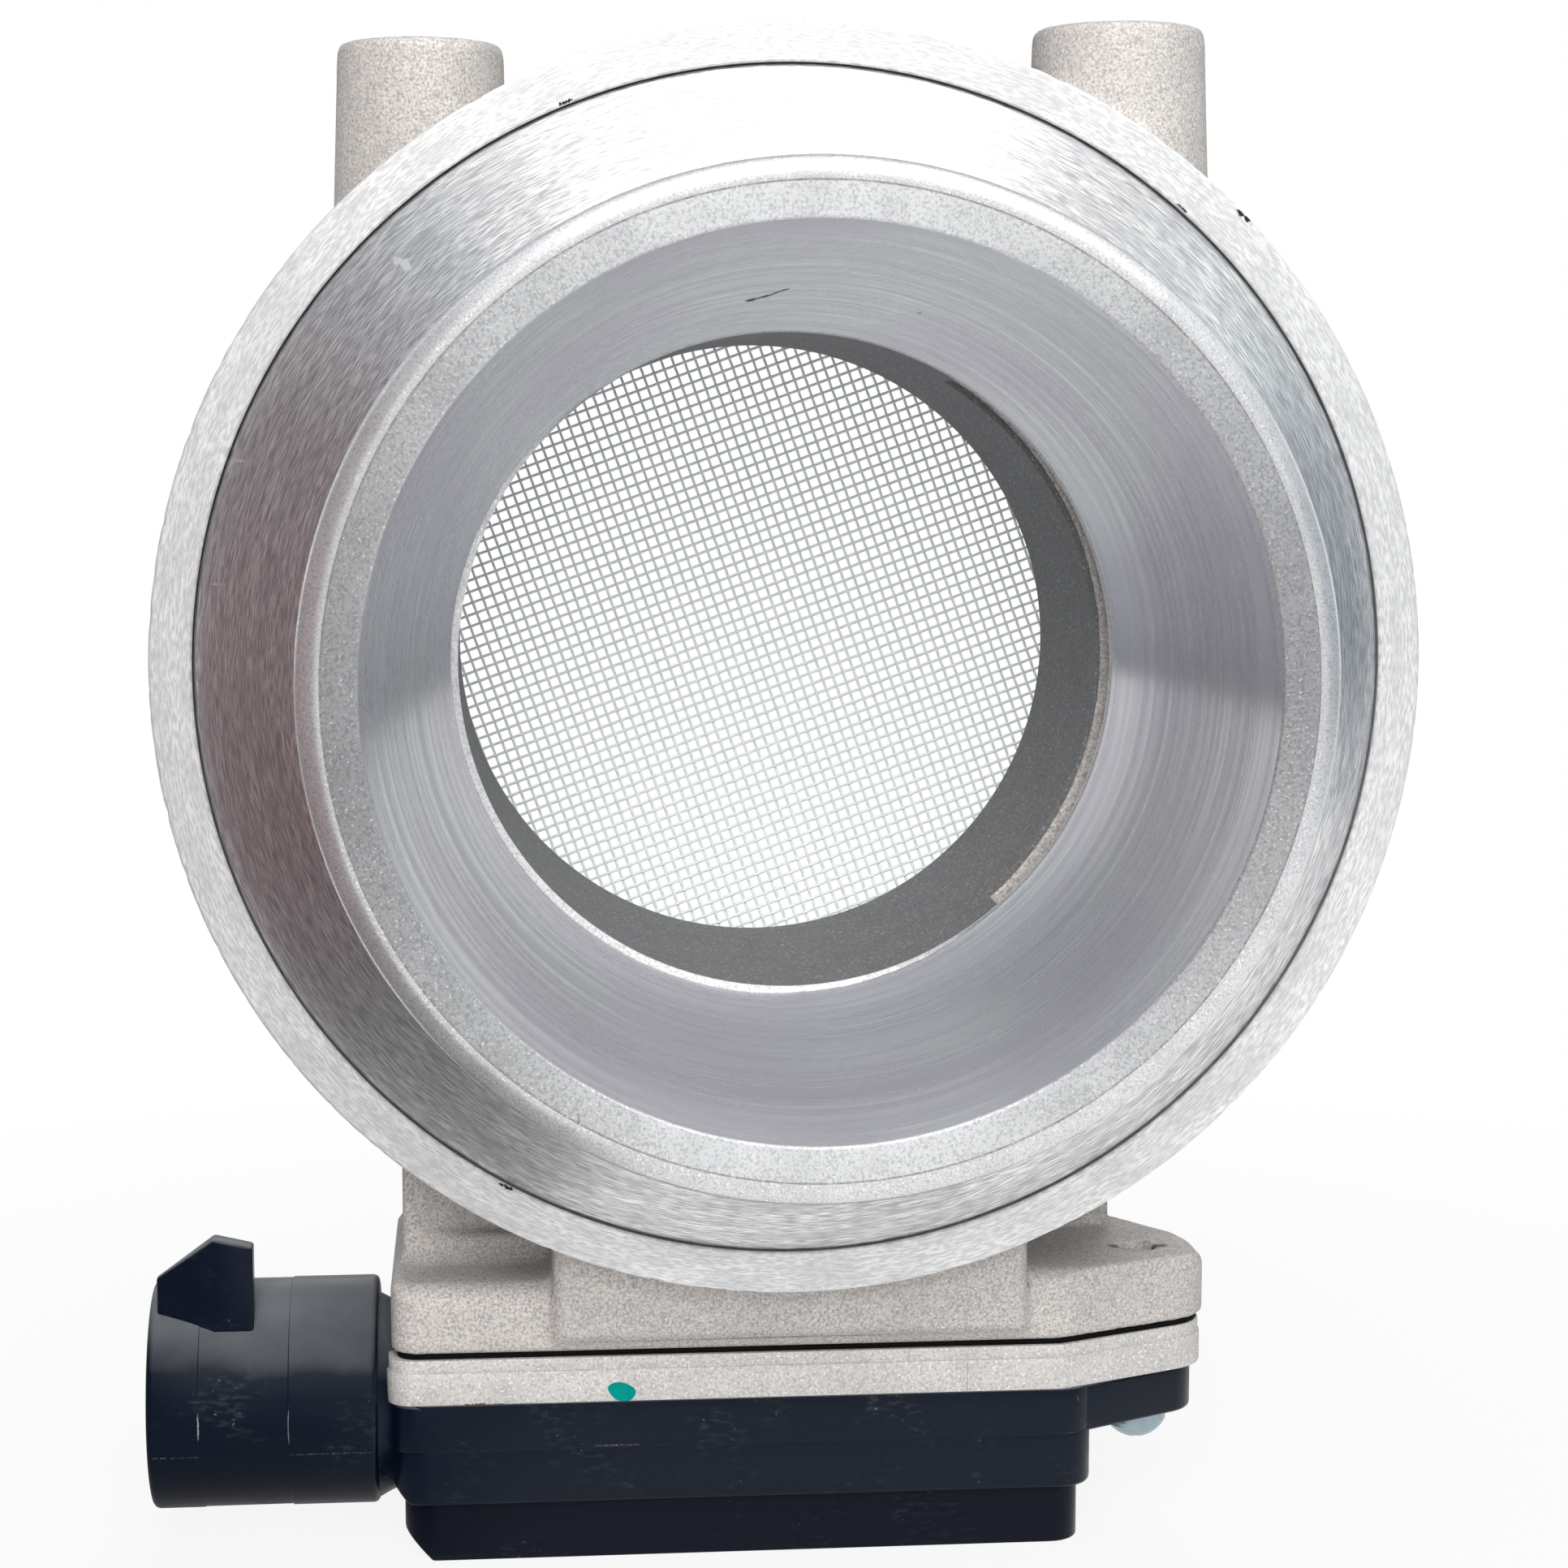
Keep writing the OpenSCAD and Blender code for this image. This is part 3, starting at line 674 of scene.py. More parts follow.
def slab(name: str, outline: Sequence[Spot3], rise: Spot3) -> Piece:
    """Draws a flat outline and raises it into a slab.

    Args:
        name: Name of the piece.
        outline: Points of the outline, in millimetres.
        rise: How far it is raised along X, Y and Z.

    Returns:
        The slab.
    """
    piece = chain(name, [Vector(point) * MM for point in outline])
    bpy.ops.mesh.edge_face_add()
    bpy.ops.mesh.extrude_region_move(TRANSFORM_OT_translate={"value": Vector(rise) * MM})
    tidy_mesh(piece)
    return piece


def plate(name: str, outline: Sequence[Spot], low: float, high: float) -> Piece:
    """Raises an outline seen from above into a slab between two levels."""
    return slab(name, [(x, y, low) for x, y in outline], (0, 0, high - low))


def dress(piece: Piece, material: Material, where: Callable[[Vector], bool] | None = None) -> None:
    """Gives a piece, or the faces of it whose middles pass a test, a material.

    Args:
        piece: Piece to dress.
        material: Its finish.
        where: Test of a face's middle, in millimetres.
    """
    if where is None:
        piece.data.materials.clear()
    piece.data.materials.append(material)
    number = len(piece.data.materials) - 1
    for face in piece.data.polygons:
        if where is None or where(face.center / MM):
            face.material_index = number


def fit(piece: Piece, angle: float, material: Material | None, slot: str, *nodes: str) -> None:
    """Smooths and dresses a piece, and fixes it to the part.

    Args:
        piece: Piece to finish.
        angle: Greatest angle of an edge that is smoothed, in degrees, or 0 for none.
        material: Its finish, or None where it has its finishes already.
        slot: Slot of the record that its material belongs to; not used.
        nodes: Nodes of the solid model that it stands in for.
    """
    if angle:
        soften(piece, angle)
    if material:
        dress(piece, material)
    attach(piece, "root")
    if nodes:
        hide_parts(*nodes)
    log.info("%s: %d faces", piece.name, len(piece.data.polygons))


def bearing(point: Vector) -> float:
    """Gives the direction of a point from the bore's axis, in degrees above +X."""
    return math.degrees(math.atan2(point.z, point.x))


def reach(point: Vector) -> float:
    """Gives the distance of a point from the bore's axis."""
    return math.hypot(point.x, point.z)


def draw_in(point: bpy.types.MeshVertex, share: float) -> None:
    """Moves a point of a mesh to a share of its distance from the bore's axis."""
    point.co.x *= share
    point.co.z *= share


@dataclass
class Nozzle:
    """Turned outlet nozzle: bore cone, blasted rim, hose bead and seat, flare and the disc in the flange."""

    throat: Station = (35.0, 9.3)
    slope: float = 0.2285
    mouth_r: float = 44.1
    mouth_y: float = -31.0
    mouth_round: float = 0.35
    bead_r: float = 50.2
    bead_round: float = 2.2
    bead_land: float = 1.0
    seat_r: float = 49.4
    disc_r: float = 62.0
    disc_edge: float = 1.2
    disc_back: float = 6.0
    pilot_r: float = 50.0
    hollow: Station = (45.8, -8.0)
    burr: float = 0.85
    burr_middle: float = 215.0
    burr_rough: float = 0.16
    burr_y: Span = (5.0, 8.8)
    lip_y: Span = (8.55, 9.2)
    steps: int = 360
    flare: TurnedFinish = TurnedFinish(
        "flare_turned", (0.50, 0.50, 0.52), WHITE, line=0.26, turns=30, depth=0.016, roughness=0.27,
        marks=(Mark((-40.9, -2.9, 42.0), (-39.6, -4.3, 40.9), 1.1, WHITE_DENT),
               Mark((-59.9, -0.7, 11.6), (-58.6, -1.9, 11.0), 0.3, WHITE_DENT),
               Mark((-59.7, -1.1, 9.0), (-57.0, -4.2, 8.9), 0.35, WHITE_DENT),
               Mark((-56.6, -0.4, 24.0), (-55.6, -1.4, 23.4), 0.3, WHITE_DENT),
               Mark((-57.2, -0.5, 21.5), (-56.2, -1.2, 21.4), 0.3, WHITE_DENT)))
    cone: TurnedFinish = TurnedFinish(
        "cone_turned", (0.74, 0.75, 0.79), (0.96, 0.96, 0.98), line=0.16, turns=2.2, depth=0.002, roughness=0.26,
        brush=0.95, tint=(0.76, 0.72, 0.80),
        marks=(Mark((-5.2, -4.1, 37.7), (-3.3, -5.1, 38.1), 0.8, DARK_NICK),
               Mark((-3.3, -5.1, 38.1), (-1.4, -7.3, 38.8), 0.42, DARK_NICK),
               Mark((-17.3, -13.1, 36.2), (-16.7, -13.4, 36.6), 0.25, DARK_NICK),
               Mark((12.0, -5.4, 36.4), (12.3, -5.8, 36.4), 0.25, DARK_NICK),
               Mark((32.0, 5.5, -16.1), (32.4, 4.4, -16.0), 0.35, DARK_NICK)))
    rim: FrostedFinish = FrostedFinish(
        "rim_blasted", (0.90, 0.91, 0.92), glint=1.2, metallic=1.0, roughness=0.46, brush=0.93,
        marks=(Mark((39.4, -31, 27.9), (40.4, -31, 26.1), 0.2, WHITE_DENT),
               Mark((40.6, -31, 26.6), (41.0, -31, 25.2), 0.2, WHITE_DENT),
               Mark((-23.7, -31, -41.9), (-23.8, -31, -40.4), 0.18, (0.4, 0.4, 0.4))))
    lip: FrostedFinish = FrostedFinish("throat_burr", (0.93, 0.93, 0.92), depth=0.01)
    bead: FrostedFinish = FrostedFinish("bead_satin", (0.86, 0.86, 0.87), grain=0.25, depth=0.006, glint=1.1,
                                        metallic=0.9, roughness=0.34)

    def section(self) -> list[Station]:
        """Gives the outline of the nozzle's wall, from the throat out through the mouth and back."""
        (throat_r, end), mouth, corner = self.throat, self.mouth_y, self.mouth_round
        rim_y = mouth + self.bead_round
        centre = self.bead_r - self.bead_round
        edge = throat_r + self.burr
        return [
            self.throat, (throat_r, 8.9), (edge - 0.1, 8.6), (edge, 5.6), (38.0, -4.0), (41.5, -19.5),
            (self.mouth_r, mouth + 0.4), *arc((self.mouth_r + corner, mouth + corner), corner, 180, 270, 4),
            (centre - 0.44, mouth), (centre - 0.4, mouth + 0.2), (centre - 0.28, mouth + 0.2), (centre - 0.24, mouth),
            *arc((centre, rim_y), self.bead_round, -90, 0, 12),
            *arc((centre, rim_y + self.bead_land), self.bead_round, 0, 55, 8),
            (self.seat_r, rim_y + self.bead_land + self.bead_round),
            *arc((self.seat_r + 4, -13), 4, 180, 128, 12), (54.3, -6.7), (58.0, -3.3),
            *arc((self.disc_r - self.disc_edge, 0.9), self.disc_edge, -52, 0, 7),
            (self.disc_r, self.disc_back), (self.pilot_r, self.disc_back), (self.pilot_r, end), (self.hollow[0], end),
            self.hollow, (43.0, self.hollow[1]), (39.2, end), self.throat]

    def raise_burr(self, piece: Piece) -> None:
        """Draws the burr at the throat in, away from the side where the tool left it wide.

        Args:
            piece: The turned nozzle.
        """
        base = self.throat[0] + 0.12
        for point in piece.data.vertices:
            place = point.co / MM
            radius = reach(place)
            if self.burr_y[0] < place.y < self.burr_y[1] and base < radius < self.throat[0] + self.burr + 0.1:
                wide = math.cos(math.radians(bearing(point.co) - self.burr_middle)) * 1.3 + 0.12
                rough = self.burr_rough * noise.noise(place * 1.7)
                drawn = base + (radius - base) * min(1.0, max(0.05, wide + rough))
                draw_in(point, drawn / radius)

    def build(self) -> None:
        """Makes the nozzle and its finishes."""
        piece = turn("turned_nozzle", self.section(), Axis.BORE, self.steps)
        self.raise_burr(piece)
        throat_r, end = self.throat
        land_y = self.mouth_y + 2 * self.bead_round + self.bead_land
        bead_in = self.bead_r - self.bead_round - 0.3
        for finish, where in (
                (self.flare, None),
                (self.cone, lambda p: self.mouth_y < p.y < 9.29
                 and reach(p) < throat_r + 0.5 + (end - p.y) * self.slope),
                (self.rim, lambda p: p.y < self.mouth_y + 0.3),
                (self.bead, lambda p: p.y < land_y and reach(p) > bead_in),
                (self.lip, lambda p: self.lip_y[0] < p.y < self.lip_y[1] and reach(p) < throat_r + 1.5)):
            dress(piece, finish.make(), where)
        fit(piece, 20, None, "turned_alloy", "outlet_nozzle")


@dataclass
class Casting:
    """Housing: a cast body with soft edges, and the machined flange, spigot and bore that are cut into it."""

    voxel: float = 0.55
    faces: int = 190000
    flange_r: float = 66.5
    flange_back: float = 8.2
    recess_r: float = 62.3
    disc_seat: Station = (50.2, 6.05)
    bore_r: float = 35.0
    wall: float = 0.6
    throat_y: float = 9.3
    slot_w: float = 8.5
    slot: Span = (-49.0, 59.0)
    seat_r: float = 49.4
    inlet_bore: float = 46.4
    inlet_end: float = 80.2
    screen_y: float = 55.0
    bead_r: float = 50.2
    bead_round: float = 2.2
    pit_depth: float = 0.07
    nick_depth: float = 0.22
    skin: CastFinish = CastFinish(
        "cast_skin", (0.61, 0.575, 0.55),
        # the first four marks are painted shade along the front block's lower and side edges
        marks=(Mark((-25.0, 7.2, -73.5), (1.0, 7.2, -73.3), 0.32, PAINTED_EDGE_SHADE),
               Mark((1.0, 7.2, -73.3), (25.6, 7.2, -73.5), 0.26, PAINTED_EDGE_SHADE),
               Mark((26.4, 7.8, -73.0), (26.4, 7.8, -60.0), 0.3, PAINTED_EDGE_SHADE),
               Mark((-25.6, 7.8, -73.0), (-25.6, 7.8, -60.0), 0.24, PAINTED_EDGE_SHADE),
               Mark((38.6, 19.1, -67.0), (42.2, 19.1, -67.0), 2.8, (0.12, 0.095, 0.075))))
    face: TurnedFinish = TurnedFinish(
        "flange_turned", (0.66, 0.66, 0.66), (0.94, 0.94, 0.94), line=0.18, turns=60, depth=0.004, roughness=0.45,
        metallic=0.7,
        marks=(Mark((-24.05, 0, 57.55), (-22.9, 0, 58.0), 0.35, DARK_NICK),
               Mark((39.9, 0, 47.95), (40.8, 0, 47.15), 0.25, DARK_NICK),
               Mark((-31.0, 0, -54.1), (-30.0, 0, -54.6), 0.45, DARK_NICK),
               Mark((46.4, 0, 47.3), (47.3, 0, 46.4), 0.6, DARK_NICK)))
    spigot: TurnedFinish = TurnedFinish("spigot_turned", (0.50, 0.50, 0.51), (0.74, 0.74, 0.75), turns=4)
    bore: FrostedFinish = FrostedFinish("bore_wall", (0.2, 0.2, 0.204), grain=0.35, metallic=0.3, roughness=0.6)

    @cached_property
    def sunk(self) -> list[tuple[Span, Span, float]]:
        """Ranges of Y and of radius in which machined pieces cover the skin, each with the radius it is moved to."""
        ends = math.inf
        flange, tube, recess = self.flange_r - 2.5, self.bore_r + self.wall, self.recess_r + 1
        seat, bore = self.seat_r - 0.8, self.inlet_bore + 0.4
        return [((-ends, 8.6), (flange, self.flange_r + 0.3), flange), ((-ends, ends), (0.0, tube), tube),
                ((-ends, 7.0), (self.recess_r - 1, recess), recess), ((57.0, ends), (seat, ends), seat),
                ((54.9, ends), (self.inlet_bore - 1, bore), bore)]

    def sink(self, point: Vector) -> Vector:
        """Moves a point of the cast skin below the machined pieces.

        Args:
            point: Place of the point, in millimetres.

        Returns:
            Its new place.
        """
        radius = reach(point)
        if not radius:
            return point
        share = 1.0
        for (low, high), (inner, outer), moved in self.sunk:
            if low < point.y < high and inner < radius < outer:
                share = moved / radius
        y = max(point.y, 1.2) if radius < self.flange_r else point.y
        return Vector((point.x * share, min(y, self.inlet_end - 0.5), point.z * share))

    def body(self) -> None:
        """Softens a copy of the cast solid, roughens its skin, and sinks it where machined pieces cover it."""
        piece = placed("cast_body", frame["nodes"]["housing"].data.copy())
        hold(piece, edit=True)
        bpy.ops.mesh.remove_doubles(threshold=2e-6)
        let_go()
        finish_with(piece, "REMESH", mode="VOXEL", voxel_size=self.voxel * MM, use_smooth_shade=True)
        finish_with(piece, "SMOOTH", factor=0.5, iterations=3)
        triangles = sum(len(f.vertices) - 2 for f in piece.data.polygons)
        log.info("cast_body: %d triangles before thinning", triangles)
        if triangles > self.faces:
            finish_with(piece, "DECIMATE", ratio=self.faces / triangles)
        normals = [point.normal.copy() for point in piece.data.vertices]
        for point, normal in zip(piece.data.vertices, normals):
            pit = self.pit_depth * min(0.0, noise.noise(point.co / MM * 0.9) - 0.1)
            point.co = self.sink(point.co / MM + normal * pit) * MM
        fit(piece, 60, self.skin.make(), "cast_alloy", "housing")

    def flange(self) -> None:
        """Turns the flange's face and rim, whose outer edge is slightly ragged."""
        inner, seat_y = self.disc_seat
        section = [self.disc_seat, (62.1, seat_y), (62.1, 0.14), (self.recess_r - 0.02, 0.0), (64.5, 0.0), (66.1, 0.0),
                   *arc((self.flange_r - 0.3, 0.3), 0.3, -90, 0, 3), (self.flange_r, 7.3),
                   *arc((self.flange_r - 1, 7.3), 1.0, 0, 90, 4), (60.0, self.flange_back),
                   (inner, self.flange_back), self.disc_seat]
        piece = turn("machined_flange", section, Axis.BORE, 720)
        for point in piece.data.vertices:
            radius = reach(point.co) / MM
            if radius > self.flange_r - 0.6 and point.co.y < 0.8 * MM:
                nick = self.nick_depth * max(0.0, noise.noise(point.co / MM * 0.75) - 0.12)
                draw_in(point, 1 - nick / radius)
        fit(piece, 25, self.face.make(), "cast_alloy")

    def inlet(self) -> None:
        """Turns the inlet spigot, with its bead, end face and bore."""
        end, bore, bead = self.inlet_end, self.inlet_bore, self.bead_round
        centre = self.bead_r - bead
        section = [(bore, self.screen_y), (bore, end - 0.3), (bore + 0.3, end), (centre, end),
                   *arc((centre, end - bead), bead, 90, 0, 8), *arc((centre, end - bead - 1), bead, 0, -50, 8),
                   (self.seat_r, 74.8), (self.seat_r, 57.2), (49.0, 56.6), (48.4, 56.6), (48.4, self.screen_y),
                   (bore, self.screen_y)]
        piece = turn("machined_spigot", section, Axis.BORE, 240)
        fit(piece, 25, self.spigot.make(), "cast_alloy")

    def bore_wall(self) -> None:
        """Bores the tube, with the slot that is left open behind the throat."""
        inner, outer = self.bore_r, self.bore_r + self.wall
        start, step = self.throat_y + 0.1, self.throat_y + self.slot_w
        front = turn("bore_front", [(inner, start), (inner, step), (outer, step), (outer, start), (inner, start)],
                     Axis.BORE, 360)
        drop(front, "FACE", lambda p: self.slot[0] < bearing(p) < self.slot[1])
        rear = turn("bore_rear", [(inner, step), (inner, 52.4), *arc((37.5, 52.5), 2.5, 180, 95, 6), (37.8, 52.0),
                                  (outer, 50.0), (outer, step), (inner, step)], Axis.BORE, 360)
        fit(joined("bore_wall", rear, front), 30, self.bore.make(), "cast_alloy")

    def build(self) -> None:
        """Makes the housing's pieces."""
        self.body()
        self.flange()
        self.inlet()
        self.bore_wall()


@dataclass
class Screen:
    """Woven wire screen in its flat rim."""

    level: float = 55.3
    pitch: float = 1.3
    wire_r: float = 0.16
    wave: float = 0.16
    lean: float = 20.0
    radius: float = 45.6
    rim: Span = (43.4, 46.0)
    rim_half: float = 0.28
    wire: SmallFinish = SmallFinish("screen_wire", (0.93, 0.97, 0.98), metallic=0.1, roughness=0.5, grain=0.2)

    def repeat(self, piece: Piece, step: Spot3, **settings: object) -> None:
        """Repeats a piece, often enough to cover the screen.

        Args:
            piece: Piece to repeat.
            step: Way from one copy to the next, in millimetres.
            settings: More properties of the array.
        """
        finish_with(piece, "ARRAY", count=self.waves, use_relative_offset=False, use_constant_offset=True,
                    constant_offset_displace=Vector(step) * MM, **settings)

    @property
    def waves(self) -> int:
        """Number of waves along the longest wire."""
        return math.ceil(self.radius / self.pitch) + 1

    def wires(self, name: str, quarter: bool) -> Piece:
        """Weaves one set of wires: one wave is bent, repeated along the wire, and the wires across.

        Args:
            name: Name of the piece.
            quarter: Whether the set is the weft, which crosses the warp at a right angle.

        Returns:
            The set, trimmed to a circle.
        """
        let_go()
        bpy.ops.mesh.primitive_cylinder_add(vertices=5, radius=self.wire_r * MM, depth=2 * self.pitch * MM,
                                            end_fill_type="NOTHING", rotation=(0, math.pi / 2, 0))
        piece = named(name)
        for share in (-0.5, 0.0, 0.5):
            hold(piece, edit=True)
            bpy.ops.mesh.bisect(plane_co=(share * self.pitch * MM, 0, 0), plane_no=(1, 0, 0))
        let_go()
        for point in piece.data.vertices:
            point.co.y += self.wave * math.cos(math.pi * point.co.x / MM / self.pitch) * MM
        self.repeat(piece, (2 * self.pitch, 0, 0), use_merge_vertices=True, merge_threshold=1e-5)
        other = placed("other", piece.data.copy())
        start = -self.pitch * (self.waves - 1)
        for mesh, place in ((piece.data, start), (other.data, start + self.pitch)):
            for point in mesh.vertices:
                point.co += Vector((place, 0, place)) * MM
        piece = joined(name, piece, other)
        self.repeat(piece, (0, 0, 2 * self.pitch))
        let_go()
        piece.rotation_euler = (0, math.radians(-self.lean - (90 if quarter else 0)), 0)
        hold(piece)
        bpy.ops.object.transform_apply(location=True, rotation=True, scale=True)
        for point in piece.data.vertices:
            point.co.y = (point.co.y if quarter else -point.co.y) + self.level * MM
        drop(piece, "VERT", lambda p: reach(p) > self.radius)
        tidy_mesh(piece)
        return piece

    def build(self) -> None:
        """Makes the warp, the weft and the rim that clamps them."""
        material = self.wire.make()
        (inner, outer), low, high = self.rim, self.level - self.rim_half, self.level + self.rim_half
        rim = turn("screen_rim", [(inner, low), (outer, low), (outer, high), (inner, high),
                                  (inner - 0.2, self.level), (inner, low)], Axis.BORE, 180)
        for piece, angle in ((self.wires("screen_warp", False), 80), (self.wires("screen_weft", True), 80), (rim, 30)):
            fit(piece, angle, material, "screen_wire", "inlet_screen")


@dataclass
class Module:
    """Sensing module under the pad: plate, case with its plug, and cover."""

    x0: float = -43.1
    x1: float = 34.2
    y0: float = 8.0
    y1: float = 46.0
    plate_top: float = -75.2
    plate_bottom: float = -80.2
    parting: float = -85.1
    ear_bottom: float = -85.5
    case_bottom: float = -91.4
    cover_bottom: float = -97.9
    cover_in: float = 1.4
    plug_r: float = 12.5
    plug_x: Station = (-69.2, -44.5)
    plug_centre: Spot3 = (0.0, 20.5, -81.5)
    socket_r: float = 10.6
    metal: FrostedFinish = FrostedFinish(
        "plate_blasted", (0.62, 0.60, 0.585), depth=0.015, metallic=0.3, roughness=0.5, glint=1.2,
        marks=(Mark((-35.1, 8, -80.2), (-27.7, 8, -80.35), 0.5, (0.12, 0.07, 0.03)),
               Mark((19.8, 8, -76.6), (19.7, 8, -80.2), 0.12, (0.3, 0.28, 0.26))))
    paint: SmallFinish = SmallFinish("teal_paint", (0.0, 0.25, 0.22), grain=0.2, depth=0.02, gloss=0.05)
    plastic: MouldedFinish = MouldedFinish(
        "case_plastic", (0.001, 0.004, 0.011),
        marks=(Mark((-21.0, 7.95, -85.05), (-16.3, 7.95, -85.05), 0.2, (0.09, 0.09, 0.1)),
               Mark((-68.8, 8.5, -85.3), (-45.2, 8.5, -85.3), 0.2, (0.1, 0.1, 0.11)),
               Mark((-63.6, 8.0, -80.0), (-63.6, 8.1, -83.2), 0.16, (0.3, 0.3, 0.32)),
               Mark((-54.0, 8.0, -79.6), (-54.0, 8.2, -84.0), 0.14, (0.22, 0.22, 0.24))))
    lid: MouldedFinish = MouldedFinish("cover_plastic", (0.0004, 0.002, 0.007), gloss=0.16, dust=0.04)

    def outline(self, x0: float, ear: float, inset: float = 0.0) -> list[Spot]:
        """Gives the outline of the plate and the ears, from its left edge, the ears' radius and an inset."""
        return belt([(x0 + 3, 11, 3 - inset), (30, 10, 2 - inset), (42.2, 20, ear - inset), (31, 42, 4 - inset),
                     (-31, 49.5, ear - inset), (x0 + 4, 42, 4 - inset)])

    def sensor_plate(self) -> None:
        """Makes the plate, whose upper part is set back a little, and the dab of paint on it."""
        seam = self.plate_top - 1.4
        lower = plate("plate_lower", self.outline(self.x0 - 0.4, 5.9), self.plate_bottom, seam)
        upper = plate("plate_upper", self.outline(self.x0 - 0.4, 5.9, 0.18), seam - 0.2, self.plate_top)
        round_edges(lower, 0.22)
        round_edges(upper, 0.18)
        fit(joined("sensor_plate", lower, upper), 40, self.metal.make(), "plate_alloy", "base_plate")
        turns = [math.tau * i / 20 for i in range(20)]
        dab = slab("paint_dab", [(-18.1 + 1.5 * math.cos(a) * (1 + 0.08 * math.sin(3 * a)), self.y0 + 0.1,
                                  -79.1 + 1.05 * math.sin(a) - 0.25 * math.cos(a)) for a in turns], (0, -0.16, 0))
        round_edges(dab, 0.05)
        fit(dab, 0, self.paint.make(), "plate_alloy")

    def case(self, plastic: Material) -> None:
        """Makes the case in two halves of a mould, with its ears.

        Args:
            plastic: Its finish.
        """
        upper = plate("case_upper", round_box(self.x0, self.x1, self.y0, self.y1, 4), self.parting, self.plate_bottom)
        round_edges(upper, 0.14)
        lower = plate("case_lower", round_box(self.x0 + 0.12, self.x1 - 0.12, self.y0 + 0.12, self.y1 - 0.12, 4),
                      self.case_bottom, self.parting + 0.1)
        cut(lower, (self.x0 + 1.9, 0, self.case_bottom), (-1.2, 0, -1))
        round_edges(lower, 0.5, 3)
        ears = plate("case_ears", self.outline(self.x0, 4.9, 0.02), self.ear_bottom, self.plate_bottom - 0.02)
        round_edges(ears, 0.45, 3)
        fit(joined("case_body", upper, lower, ears), 40, plastic, "case_plastic", "module_case")

    def plug(self, plastic: Material) -> None:
        """Makes the round socket with its mould lines, the neck that joins it to the case, and the locking fin.

        Args:
            plastic: Its finish.
        """
        (left, right), r, hole, corner = self.plug_x, self.plug_r, self.socket_r, 0.7
        bottom, near, far = left + 20, left + 5.6, left + 15.2
        section = [(0, bottom), (hole, bottom), (hole, left + 0.6), (hole + 0.5, left),
                   *arc((r - corner, left + corner), corner, -90, 0, 4), (r, near - 0.1), (r - 0.07, near),
                   (r - 0.1, far - 0.05), (r, far + 0.05), (r, right - corner),
                   *arc((r - corner, right - corner), corner, 0, 90, 4), (0, right)]
        barrel = turn("plug_barrel", section, Axis.PLUG, 144, self.plug_centre)
        root = self.x0 + 0.5
        neck = turn("plug_neck", [(0, right - 0.6), (11.6, right - 0.6), (10.6, self.x0 - 0.2), (10.3, root),
                                  (0, root)], Axis.PLUG, 96, (0, 20.5, -82.2))
        fin = slab("plug_fin", [(x, 12, z) for x, z in ((-68.3, -66.9), (-62, -62.3), (-57.8, -63.3), (-57.8, -75.5),
                                                         (-68.3, -75.5))], (0, 3, 0))
        cut(fin, (-62, 12, 0), (-0.309, -0.951, 0))
        round_edges(fin, 0.3, 3)
        fit(joined("plug_socket", barrel, neck, fin), 32, plastic, "case_plastic", "module_case")

    def cover(self) -> None:
        """Makes the cover, with the bevel along its lower left edge."""
        inset = self.cover_in
        piece = plate("case_cover", round_box(self.x0 + inset, self.x1 - inset, self.y0 + inset, self.y1 - inset, 3.5),
                      self.cover_bottom, self.case_bottom + 0.02)
        cut(piece, (self.x0 + inset + 3.0, 0, self.cover_bottom), (-1, 0, -1))
        round_edges(piece, 0.5, 3)
        fit(piece, 40, self.lid.make(), "cover_plastic", "module_cover")

    def build(self) -> None:
        """Makes the module's outer pieces."""
        plastic = self.plastic.make()
        self.sensor_plate()
        self.case(plastic)
        self.plug(plastic)
        self.cover()


@dataclass
class SmallParts:
    """Nodes of the solid model that keep their shape and get their finish here."""

    finishes: dict[str, SmallFinish] = field(default_factory=lambda: {
        "screen_ring": SmallFinish("ring_steel", (0.35, 0.35, 0.36), 0.9, 0.45),
        "base_gasket": SmallFinish("gasket_rubber", (0.004, 0.004, 0.0045), 0.0, 0.8, gloss=0.1),
        "module_screws": SmallFinish("screw_zinc", (0.36, 0.45, 0.51), 0.9, 0.3),
        "circuit_board": SmallFinish("board_ceramic", (0.80, 0.79, 0.75), 0.0, 0.45),
        "power_transistor": SmallFinish("transistor_case", (0.03, 0.03, 0.03), 0.0, 0.5),
        "control_chip": SmallFinish("control_case", (0.025, 0.025, 0.028), 0.0, 0.5),
        "signal_chip": SmallFinish("signal_case", (0.03, 0.03, 0.032), 0.0, 0.5),
        "capacitors": SmallFinish("capacitor_body", (0.50, 0.36, 0.20), 0.0, 0.45),
        "chip_resistors": SmallFinish("resistor_body", (0.05, 0.05, 0.06), 0.0, 0.35),
        "terminals": SmallFinish("terminal_tin", (0.75, 0.73, 0.66), 1.0, 0.3),
        "bond_leads": SmallFinish("lead_wire", (0.80, 0.79, 0.76), 1.0, 0.25),
        "probe_body": SmallFinish("probe_plastic", (0.03, 0.03, 0.032), 0.0, 0.45),
        "probe_seal": SmallFinish("seal_rubber", (0.015, 0.015, 0.015), 0.0, 0.65),
        "support_pins": SmallFinish("pin_steel", (0.70, 0.70, 0.68), 1.0, 0.3),
        "hot_wire": SmallFinish("hot_element", (0.80, 0.80, 0.78), 0.7, 0.35),
        "cold_wire": SmallFinish("cold_element", (0.74, 0.75, 0.78), 0.7, 0.4)})

    def build(self) -> None:
        """Dresses each node."""
        for node, finish in self.finishes.items():
            piece = frame["nodes"][node]
            material = finish.make()
            if piece.material_slots:
                for holder in piece.material_slots:
                    holder.material = material
            else:
                piece.data.materials.append(material)
            log.info("%s: finished as %s", node, finish.name)


